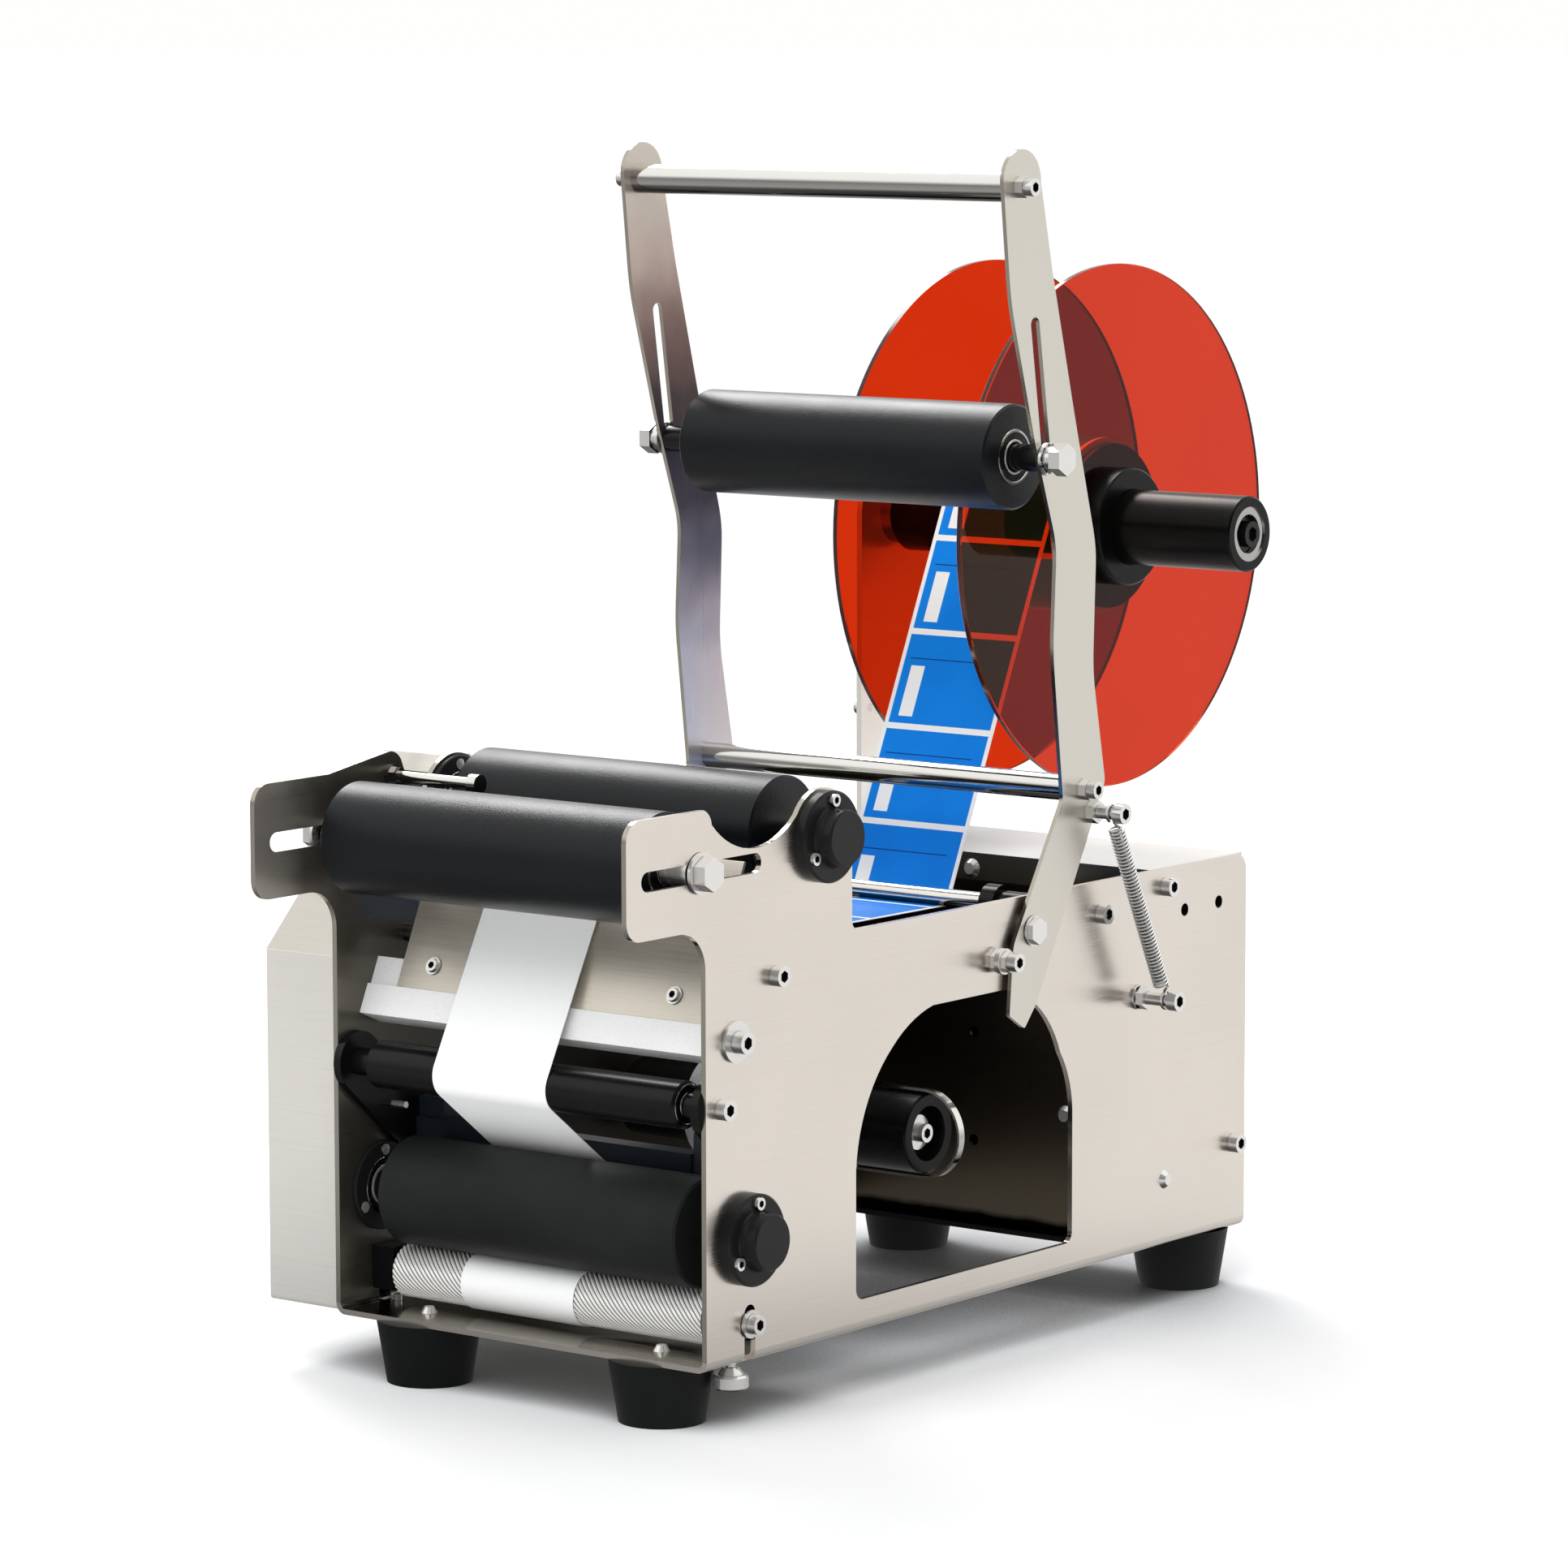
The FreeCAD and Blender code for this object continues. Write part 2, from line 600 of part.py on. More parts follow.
def make_rear():
    inside = D["half_width"] - D["plate_gauge"]
    gauge = D["cover_gauge"]
    front = D["wall_front"]
    above_bend = BELLY + num(D["bend_radius"])
    floor = BELLY + num(D["plate_gauge"])
    between_bends = 99.8
    top = block(-1.0 * inside, front - COVER_LIP_GAUGE, D["deck_level"] - gauge,
                inside * 2.0, BACK - num(front) - 0.2 + COVER_LIP_GAUGE, gauge)
    lip = block(-1.0 * inside, front - COVER_LIP_GAUGE, D["deck_level"] - COVER_LIP,
                inside * 2.0, COVER_LIP_GAUGE, COVER_LIP)
    back = block(-1.0 * inside, BACK - 2.2, above_bend, inside * 2.0, gauge,
                 DECK - above_bend)
    foot = block(-between_bends, BACK - 2.2, floor, 2.0 * between_bends, gauge,
                 above_bend - floor)
    holes = [block(-62.0, BACK - 5.0, 78.0, 28.0, 10.0, 20.5),
             block(-21.0, BACK - 5.0, 78.0, 13.4, 10.0, 19.4)]
    for index in range(7):
        holes.append(block(20.0, BACK - 5.0, 120.0 + 8.0 * index, 50.0, 10.0, 3.0))
    node("rear_cover", cut(fuse(top, lip, back, foot), fuse(*holes)))

    wall = block(-1.0 * inside, front, above_bend, inside * 2.0,
                 D["wall_gauge"], DECK - above_bend - 2.0)
    ledge = block(-between_bends, front, floor, 2.0 * between_bends, 12.0,
                  above_bend - floor)
    wall_holes = fuse(cylinder(1.5, 128.0, 121.0, 2.6, 6.0, ALONG_Y),
                      cylinder(1.5, 128.0, 69.0, 2.6, 6.0, ALONG_Y))
    node("rear_wall", cut(fuse(wall, ledge), wall_holes))

    shell = block(-61.8, BACK - 16.0, 78.2, 27.6, 17.5, 20.1)
    rim = block(-65.0, BACK - 0.2, 75.5, 34.0, 2.2, 25.5)
    pit = block(-59.0, BACK - 10.0, 81.0, 22.0, 16.0, 14.5)
    pins = [block(x, BACK - 10.5, z, 2.0, 8.0, 4.0)
            for x, z in ((-55.5, 84.0), (-42.5, 84.0), (-49.0, 88.5))]
    inlet = fuse(cut(fuse(shell, rim), pit), *pins)

    frame = cut(block(-23.5, BACK - 0.2, 75.5, 18.4, 1.6, 24.4),
                block(-20.6, BACK - 6.0, 78.4, 12.6, 12.0, 18.6))
    socket = cut(block(-20.9, BACK - 13.0, 78.1, 13.2, 12.8, 19.2),
                 block(-20.2, BACK - 11.0, 78.8, 11.8, 14.0, 17.8),
                 cylinder(-22.0, BACK - 2.0, SWITCH_Z, 1.6, 16.0))
    node("power_inlet", group(inlet, fuse(frame, socket)))
    # the rocker turns on two short trunnions in the socket's side walls
    rocker = pad([(BACK - 7.5, SWITCH_Z - 6.5),
                  ("line", (BACK + 1.2, SWITCH_Z - 7.4)),
                  ("line", (BACK + 2.4, SWITCH_Z)),
                  ("line", (BACK + 4.4, SWITCH_Z + 7.4)),
                  ("line", (BACK - 7.5, SWITCH_Z + 6.5)),
                  ("line", (BACK - 7.5, SWITCH_Z - 6.5))], 10.8)
    place(rocker, -19.7, 0, 0)
    trunnions = cylinder(-20.7, BACK - 2.0, SWITCH_Z, 1.5, 12.8)
    node("power_rocker", fuse(rocker, trunnions))


# ---------------------------------------------------------------- control box

S = math.sqrt(0.5)
SLOPE_Y, SLOPE_Z = -161.0, 229.0          # middle of the sloped face
PANEL_FOOT = -24.0                        # lower edge of the panel, up the slope
KEY_UP = -12.0
KEYS = {"key_left": -136.0, "key_right": -117.0}


def on_slope(across, up, out):
    """A point of the sloped face: across is X, up the slope and out of it."""
    return (across, SLOPE_Y + up * S - out * S, SLOPE_Z + up * S + out * S)


def make_control_box():
    left, right = num(D["box_left"]), -num(HW)
    gauge = num(D["box_gauge"])
    front, back = num(D["box_front"]), num(D["box_back"])
    ridge, peak = num(D["ridge_level"]), num(D["peak_level"])
    peak_front, peak_back = num(D["peak_front"]), num(D["peak_back"])

    def outline(inset):
        low = BELLY + 0.5 + inset
        slant = inset * math.tan(math.pi / 8)
        return rounded_path([
            (front + inset, low, 2.0),
            (front + inset, ridge - slant, 1.5),
            (peak_front + slant, peak - inset, 3.0),
            (peak_back - inset, peak - inset, 3.0),
            (peak_back - inset, 207.0 - inset, 3.0),
            (back - inset, 207.0 - inset, 3.0),
            (back - inset, low, 2.0)])

    outer = pad(outline(0.0), right - left)
    place(outer, left, 0, 0)
    core = pad(outline(gauge), right - left)
    place(core, left + gauge, 0, 0)
    holes = [cylinder(*on_slope(across, KEY_UP, -6.0), 5.2, 12.0, SLOPE)
             for across in KEYS.values()]
    node("control_box", cut(outer, core, fuse(*holes)))

    plate = block(*on_slope(-144.0, PANEL_FOOT, 0.0), 35.0, 70.0, 1.0, SLOPE)
    window_seat = block(*on_slope(-141.0, 4.0, 0.4), 29.0, 34.0, 3.0, SLOPE)
    key_holes = [cylinder(*on_slope(across, KEY_UP, -6.0), 5.2, 12.0, SLOPE)
                 for across in KEYS.values()]
    node("control_panel", cut(plate, window_seat, fuse(*key_holes)))

    for name, across in KEYS.items():
        stem = cylinder(*on_slope(across, KEY_UP, -5.4), 4.9, 9.0, SLOPE)
        collar = cylinder(*on_slope(across, KEY_UP, -5.9), 6.5, 1.0, SLOPE)
        node(name, fuse(stem, collar))

    # flat gear motor inside the box, on the left side plate
    case = cylinder(-141.0, -110.0, 150.0, 30.0, 34.0)
    flange = block(-107.0, -142.0, 118.0, 2.0, 64.0, 64.0)
    node("drive_motor", fuse(case, flange))


# ---------------------------------------------------------------- rollers

CAP_FACE = 110.4                          # seats of the small screws of the caps
LEFT_SEAT = -101.4                        # and of the thin flanges inside the left plate


def bearing_unit(y, z, bore_depth):
    """Black flange unit with a closed conical boss, outside the right plate."""
    r = D["shaft_radius"] + 0.06
    profile = [(0.0, 20.1), (5.0, 20.1), (6.0, 19.1), (6.0, 14.0), (6.9, 13.2),
               (8.6, 12.8), (13.2, 12.4), (14.0, 11.7), (14.0, 0.0), (bore_depth, 0.0),
               (bore_depth, r), (0.0, r)]
    return place(turned(profile), HW, y, z)


def make_bearings():
    upper = (D["rear_roller_y"], D["rear_roller_z"])
    lower = (D["traction_y"], D["traction_z"])
    for name, (y, z) in (("bearing_cap_upper", upper),
                         ("bearing_cap_lower", lower)):
        holes = [cylinder(HW - 1.0, y + a, z + b, 1.3, 8.0)
                 for a, b in SCREW_SHIFTS]
        holes += [cylinder(CAP_FACE, y + a, z + b, 2.82, 8.0) for a, b in SCREW_SHIFTS]
        node(name, cut(bearing_unit(y, z, 9.5), *holes))
    housings = []
    for y, z in (upper, lower):
        r = D["shaft_radius"] + 0.06
        flange = place(turned([(0.0, 20.1), (2.0, 20.1), (2.6, 19.5),
                               (2.6, r), (0.0, r)]), -1.0 * HW + 2.5, y, z)
        holes = [cylinder(-104.0, y + a, z + b, 1.3, 12.0)
                 for a, b in SCREW_SHIFTS]
        holes += [cylinder(LEFT_SEAT, y + a, z + b, 2.6, 4.0) for a, b in SCREW_SHIFTS]
        housings.append(cut(flange, *holes))
    node("bearing_housings_left", group(*housings))


def sleeve(half, radius, bore, left=None, right=None):
    first = -1.0 * half if left is None else left
    last = half if right is None else right
    return turned([(first, bore), (first, radius - 1.0), (first + 1.0, radius),
                   (last - 1.0, radius), (last, radius - 1.0), (last, bore)])


def make_rollers():
    # drive roller at the top rear
    roller = sleeve(D["rear_roller_half"], D["rear_roller_radius"], D["shaft_radius"])
    node("rear_roller", place(roller, 0, D["rear_roller_y"], D["rear_roller_z"]))
    node("rear_roller_shaft",
         fuse(cylinder(-118.0, D["rear_roller_y"], D["rear_roller_z"],
                       D["shaft_radius"], 232.0),
              cylinder(D["rear_roller_half"], D["rear_roller_y"],
                       D["rear_roller_z"], 8.5, 6.0)))
    # big traction roller
    roller = sleeve(D["traction_half"], D["traction_radius"], D["shaft_radius"])
    node("traction_roller", place(roller, 0, D["traction_y"], D["traction_z"]))
    node("traction_shaft",
         fuse(cylinder(-118.0, D["traction_y"], D["traction_z"],
                       D["shaft_radius"], 232.0),
              cylinder(-90.0, D["traction_y"], D["traction_z"], 8.0, 6.0)))
    # knurled pinch roller on its fixed axle
    half = D["pinch_half"]
    roller = turned([(-1.0 * half, 4.3), (-1.0 * half, D["pinch_radius"] - 1.2),
                     (-1.0 * half + 1.2, D["pinch_radius"]),
                     (half - 1.2, D["pinch_radius"]),
                     (half, D["pinch_radius"] - 1.2), (half, 4.3)])
    node("knurled_roller", place(roller, 0, D["pinch_y"], D["pinch_z"]))
    axle = cylinder(-101.5, D["pinch_y"], D["pinch_z"], 4.0, 203.0)
    ends = []
    for side, turn in ((-1, ALONG_MINUS_X), (1, ALONG_X)):
        ends.append(cylinder(side * 101.5, D["pinch_y"], D["pinch_z"], 3.2, 3.9, turn))
        ends.append(cylinder(side * 105.3, D["pinch_y"], D["pinch_z"], 6.2, 1.0, turn))
        ends.append(socket_screw(side * 106.3, D["pinch_y"], D["pinch_z"], 4.2, 4.4, turn))
    whole_axle = fuse(axle, *ends)
    blocks = []
    for side in (-1, 1):
        x = 89.5 if side > 0 else -101.5
        base = block(x, D["pinch_y"] - 9.0, D["pinch_z"] - 8.5, 12.0, 18.0, 19.5)
        blocks.append(cut(base, cylinder(x - 1.0, D["pinch_y"], D["pinch_z"], 4.0, 14.0)))
    node("pinch_carriage", group(whole_axle, *blocks))
    for side, name in ((-1, "thumbscrew_left"), (1, "thumbscrew_right")):
        x = side * 94.5
        y = D["pinch_y"]
        node(name, fuse(cone(x, y, 15.4, 6.8, 7.8, 1.0, LEVEL),
                        cylinder(x, y, 16.4, 7.8, 4.6, LEVEL),
                        cone(x, y, 21.0, 7.8, 6.9, 1.0, LEVEL),
                        cone(x, y, 22.0, 5.6, 3.6, 3.0, LEVEL),
                        cylinder(x, y, 25.0, 2.2, 8.4, LEVEL)))
    # slim guide roller with its axle
    half = D["guide_half"]
    roller = sleeve(half, D["guide_radius"], 4.35)
    node("guide_roller", place(roller, 0, D["guide_y"], D["guide_z"]))
    # front support roller on its sliding axle
    roller = sleeve(D["front_roller_half"], D["front_roller_radius"], 12.6)
    place(roller, 0, D["front_roller_y"], D["front_roller_z"])
    half = D["front_roller_half"]
    rings = [place(turned([(0.0, 4.3), (0.0, 12.6), (8.0, 12.6), (8.0, 4.3)]),
                   start, D["front_roller_y"], D["front_roller_z"])
             for start in (-1.0 * half, half - 8.0)]
    node("front_roller", group(roller, *rings))
    y, z = D["front_roller_y"], D["front_roller_z"]
    axle = [cylinder(-106.0, y, z, D["carriage_shaft_radius"], 212.0)]
    for side, turn in ((-1, ALONG_MINUS_X), (1, ALONG_X)):
        axle.append(cylinder(side * 88.0, y, z, 6.5, 14.2, turn))
        axle.append(cylinder(side * 105.3, y, z, 9.0, 1.5, turn))
        axle.append(hexagon(side * 106.8, y, z, 15.0, 6.0, turn))
    node("front_roller_axle", fuse(*axle))


# ---------------------------------------------------------------- label path

def lean_point(across, up, out):
    """A point of the peel plate's front face."""
    p = LEAN.multVec(Vector(0, up, out))
    return (across, num(D["peel_y"]) + p.y, num(D["peel_z"]) + p.z)


BAR_LIP = 0.5                             # the bar stands this proud of the plate
LINER_LIFT = 0.45                         # from a roller to the liner's middle


def waste_end():
    """The point where the liner meets the waste roll, just clear of it."""
    spool_y, spool_z = num(D["spool_y"]), num(D["spool_z"])
    reach = num(D["waste_radius"]) + 0.7
    span_y = spool_y - num(D["pinch_y"])
    span_z = spool_z - num(D["pinch_z"])
    lift = num(D["pinch_radius"]) + LINER_LIFT - reach
    aim = math.atan2(span_z, span_y) + math.asin(lift / math.hypot(span_y, span_z))
    return (spool_y + math.sin(aim) * reach, spool_z - math.cos(aim) * reach)


def make_label_path():
    half = D["peel_half"]
    length = num(D["peel_length"])
    gauge = num(D["peel_gauge"])
    x, y, z = lean_point(-num(half), 0.0, -gauge)
    plate = block(x, y, z, half * 2.0, length, gauge, LEAN)
    x, y, z = lean_point(-num(half), length, -gauge / 2.0)
    edge = cylinder(x, y, z, gauge / 2.0, half * 2.0)
    holes = [cylinder(*lean_point(side * 68.0, 11.0, -3.0), 1.6, 6.0, LEAN)
             for side in (-1, 1)]
    node("peel_plate", cut(fuse(plate, edge), *holes))
    inside = 102.5
    drop, rise, depth = num(D["bar_drop"]), num(D["bar_rise"]), num(D["bar_depth"])
    seat = block(*lean_point(-inside, -drop, -gauge - depth), 2.0 * inside,
                 drop + rise, depth, LEAN)
    ledge = block(*lean_point(-inside, -drop, -gauge), 2.0 * inside,
                  drop - 0.2, gauge + BAR_LIP, LEAN)
    bar = fuse(seat, ledge)
    holes = [cylinder(*lean_point(side * 68.0, 11.0, -9.0), 1.6, 9.0, LEAN)
             for side in (-1, 1)]
    holes.append(cylinder(92.0, SIDE_BOLTS[1][0], SIDE_BOLTS[1][1], SHANK, 12.0))
    node("peel_support_bar", cut(bar, *holes))

    # black side brackets that hold the slim guide roller and the cross bar
    gy, gz = num(D["guide_y"]), num(D["guide_z"])
    brackets = []
    outline = stadium_path((gy, gz), (-163.4, 112.8), 13.5)
    for side, start in ((-1, -102.5), (1, 98.5)):
        plate = place(pad(outline, 4.0), start, 0, 0)
        boss = cylinder(-98.5 if side < 0 else 88.5, gy, gz, 6.2, 10.0)
        bracket = fuse(plate, boss)
        if side > 0:
            bracket = cut(bracket, cylinder(start - 1.0, gy, gz, SHANK, 6.0))
        brackets.append(bracket)
    node("guide_brackets", group(*brackets))
    bar = block(-98.5, -158.0, 101.0, 157.0, 10.0, 10.0)
    left_end = block(-98.5, -156.0, 98.0, 14.5, 14.0, 22.0)
    right_end = block(58.5, -156.0, 98.0, 40.0, 14.0, 22.0)
    node("guide_cross_bar", group(fuse(bar, left_end), right_end))

    # chrome guide rods
    y, z = D["rear_guide_y"], D["rear_guide_z"]
    rod = cylinder(-102.5, y, z, D["guide_rod_radius"], 144.5)
    front = cut(cylinder(-102.5, D["front_guide_y"], D["front_guide_z"],
                         D["guide_rod_radius"], 205.0),
                cylinder(92.0, D["front_guide_y"], D["front_guide_z"], SHANK, 12.0))
    axle = cylinder(-88.5, D["guide_y"], D["guide_z"], 4.0, 177.0)
    node("guide_rods", group(rod, front, axle))
    collar = cut(fuse(cylinder(42.0, y, z, 8.5, 8.0), cylinder(50.0, y, z, 6.0, 52.5)),
                 cylinder(92.0, y, z, SHANK, 12.0))
    node("guide_rod_spacer", collar)

    # chrome stop that sets how far in a bottle goes
    y, z = -168.0, 265.4
    node("bottle_stop_rod",
         fuse(cylinder(-102.5, y, z, 2.7, 51.5), cylinder(-102.5, y, z, 5.2, 2.0),
              hexagon(-100.5, y, z, 8.6, 3.5), cylinder(-56.0, y, z, 4.4, 5.0)))

    # label web from the roll to the peel edge
    web = num(D["web_gauge"])
    width = D["web_right"] - D["web_left"]
    rod_r = num(D["guide_rod_radius"]) + web / 2.0
    tip = lean_point(0.0, length, -gauge / 2.0)
    roll_r = num(D["label_roll_radius"])
    roll_y, roll_z = num(D["reel_y"]), num(D["reel_z"])
    rear = (num(D["rear_guide_y"]), num(D["rear_guide_z"]))
    span_y, span_z = roll_y - rear[0], roll_z - rear[1]
    span = math.hypot(span_y, span_z)
    aim = math.atan2(span_z, span_y)
    reach = roll_r + 0.65
    swing = math.asin((reach + rod_r) / span)
    way = aim + swing
    start = (roll_y - math.sin(way) * reach, roll_z + math.cos(way) * reach)
    finish = (tip[1] + 0.95, tip[2] - 1.0)
    path = web_path([(rear[0], rear[1], rod_r, -1),
                     (num(D["front_guide_y"]), num(D["front_guide_z"]), rod_r, -1)],
                    start, finish, web)
    strip = place(pad(path, width), D["web_left"], 0, 0)
    node("label_web", strip)

    # bare liner from the peel edge round the rollers to the waste roll
    path = web_path(
        [(tip[1], tip[2], gauge / 2.0 + web / 2.0, 1),
         (gy, gz, num(D["guide_radius"]) + LINER_LIFT, 1),
         (num(D["traction_y"]), num(D["traction_z"]),
          num(D["traction_radius"]) + LINER_LIFT, -1),
         (num(D["pinch_y"]), num(D["pinch_z"]),
          num(D["pinch_radius"]) + LINER_LIFT, 1)],
        (tip[1] + 1.0, tip[2] - 1.0), waste_end(), web)
    strip = place(pad(path, width), D["web_left"], 0, 0)
    node("waste_liner", strip)


# ---------------------------------------------------------------- rewind spool

RECESS = 7.2                              # of the spool's open end
CLIP_LEG, CLIP_GAUGE, CLIP_WIDTH = 19.4, 1.2, 4.0


def make_rewind():
    y, z = D["spool_y"], D["spool_z"]
    end = D["spool_end"]
    tube = turned([(-92.0, 0.0), (-92.0, D["spool_radius"] - 0.8),
                   (-91.2, D["spool_radius"]), (end - 0.8, D["spool_radius"]),
                   (end, D["spool_radius"] - 0.8), (end, 12.6),
                   (end - RECESS, 12.6), (end - RECESS, 0.0)])
    node("rewind_tube", place(tube, 0, y, z))
    shaft = cylinder(-112.0, y, z, 5.0, 20.0)
    washer = cylinder(end - RECESS, y, z, 8.0, 1.6)
    screw = socket_screw(num(end) - RECESS + 1.6, num(y), num(z), 4.2, 4.9)
    node("rewind_screw", group(shaft, fuse(washer, screw)))
    # hairpin of flat spring steel that clamps the liner to the tube
    inner, outer = CLIP_LEG, CLIP_LEG + CLIP_GAUGE
    stop = num(end) - 2.0
    hairpin = pad([(-60.0, outer), ("line", (stop, outer)),
                   ("arc", (stop + outer, 0.0), (stop, -outer)),
                   ("line", (-60.0, -outer)), ("line", (-60.0, -inner)),
                   ("line", (stop, -inner)),
                   ("arc", (stop + inner, 0.0), (stop, inner)),
                   ("line", (-60.0, inner)), ("line", (-60.0, outer))],
                  CLIP_WIDTH, "XZ_Plane")
    node("rewind_clip", place(hairpin, 0, y + CLIP_WIDTH / 2.0, z))
    hollow = outer + 0.4
    roll = turned([(D["web_left"], hollow), (D["web_left"], D["waste_radius"]),
                   (D["web_right"], D["waste_radius"]), (D["web_right"], hollow)])
    node("waste_roll", place(roll, 0, y, z))


# ---------------------------------------------------------------- reel

def make_reel():
    y, z = D["reel_y"], D["reel_z"]
    outline = [(183.0, 112.0), ("line", (183.0, 357.0)),
               ("arc", (213.0 - 21.213, 357.0 + 21.213), (213.0, 387.0)),
               ("arc", (213.0 + 21.213, 357.0 + 21.213), (243.0, 357.0)),
               ("line", (243.0, 236.0)), ("line", (204.0, 200.0)),
               ("line", (204.0, 112.0)), ("line", (183.0, 112.0))]
    plate = place(pad(outline, 3.0), -108.0, 0, 0)
    holes = [cylinder(-110.0, y, z, 5.0, 10.0),
             cylinder(-110.0, 190.0, 263.0, SHANK, 10.0)]
    holes += [cylinder(-110.0, by, bz, SHANK, 10.0) for by, bz in BRACKET_BOLTS]
    node("reel_bracket", cut(plate, *holes))
    shaft = fuse(cylinder(-105.0, y, z, D["reel_shaft_radius"], 200.0),
                 cylinder(-112.0, y, z, 5.0, 8.0),
                 hexagon(-117.0, y, z, 17.0, 9.0),
                 cylinder(-105.0, y, z, 15.0, 6.0))
    end = D["reel_tube_end"]
    r = D["reel_tube_radius"]
    tube = turned([(-96.0, 9.0), (-96.0, r), (end - 0.8, r), (end, r - 0.8),
                   (end, 12.9), (end - 6.0, 12.9), (end - 6.0, 9.0)])
    place(tube, 0, y, z)
    insert = turned([(0.0, 9.3), (0.0, 12.9), (5.2, 12.9), (5.2, 9.3)])
    place(insert, end - 6.0, y, z)
    node("reel_tube", group(tube, insert))
    face = cylinder(end - 6.0, y, z, 8.9, 2.2)
    nose = socket_screw(num(end) - 3.8, num(y), num(z), 6.2, 5.4)
    node("reel_shaft", group(shaft, fuse(face, nose)))
    gauge = D["disc_gauge"]
    edge = D["disc_radius"]
    flange = D["hub_flange_radius"]
    collar = D["hub_collar_radius"]
    right_start = D["hub_right_face"] + D["hub_flange_gauge"]
    for name, start, bore in (("reel_disc_left", D["disc_left_face"], r),
                              ("reel_disc_right", right_start, collar)):
        disc = turned([(0.0, bore), (0.0, edge - 0.4), (0.4, edge),
                       (gauge - 0.4, edge), (gauge, edge - 0.4), (gauge, bore)])
        node(name, place(disc, start, y, z))
    thick = D["hub_flange_gauge"]
    right = turned([(0.0, r + 0.3), (0.0, flange), (thick, flange), (thick, collar),
                    (15.8, collar), (16.6, collar - 0.8), (16.6, r + 0.3)])
    node("hub_flange_right", place(right, D["hub_right_face"], y, z))
    left = turned([(0.0, r), (0.0, collar), (11.0, collar), (11.0, flange),
                   (18.0, flange), (18.0, r)])
    node("hub_flange_left", place(left, D["disc_left_face"] - 18.0, y, z))
    roll = turned([(D["web_left"], r), (D["web_left"], D["label_roll_radius"]),
                   (D["web_right"], D["label_roll_radius"]), (D["web_right"], r)])
    node("label_roll", place(roll, 0, y, z))


# ---------------------------------------------------------------- pressure arms

# corners of the arm plate, from the handle's front down and up its back:
# (y, z, corner radius)
ARM = [(3.0, 528.0, 0.0), (9.0, 474.0, 120.0), (28.0, 410.0, 100.0),
       (44.6, 364.0, 40.0), (42.1, 316.0, 100.0), (50.3, 248.4, 7.0),
       (12.0, 186.2, 14.0), (9.2, 154.8, 1.5), (20.8, 147.6, 1.5),
       (29.8, 157.8, 2.0), (83.5, 253.6, 7.0), (73.4, 305.0, 80.0),
       (75.6, 361.0, 50.0), (57.5, 424.5, 150.0), (40.9, 486.0, 100.0),
       (31.5, 527.4, 0.0)]
ARM_TOP = (17.4, 541.9)


def arm_outline():
    """The arm's edge; the line that closes it over the top is a round end instead."""
    steps = rounded_path(ARM)[1:-1]
    end = (ARM[0][0], ARM[0][1])
    return [end] + steps + [("arc", ARM_TOP, end)]


SLIDE_Y, SLIDE_Z = -0.15, 0.98869
NUT, POST = 4.5, 10.0                     # on the arm's outer face


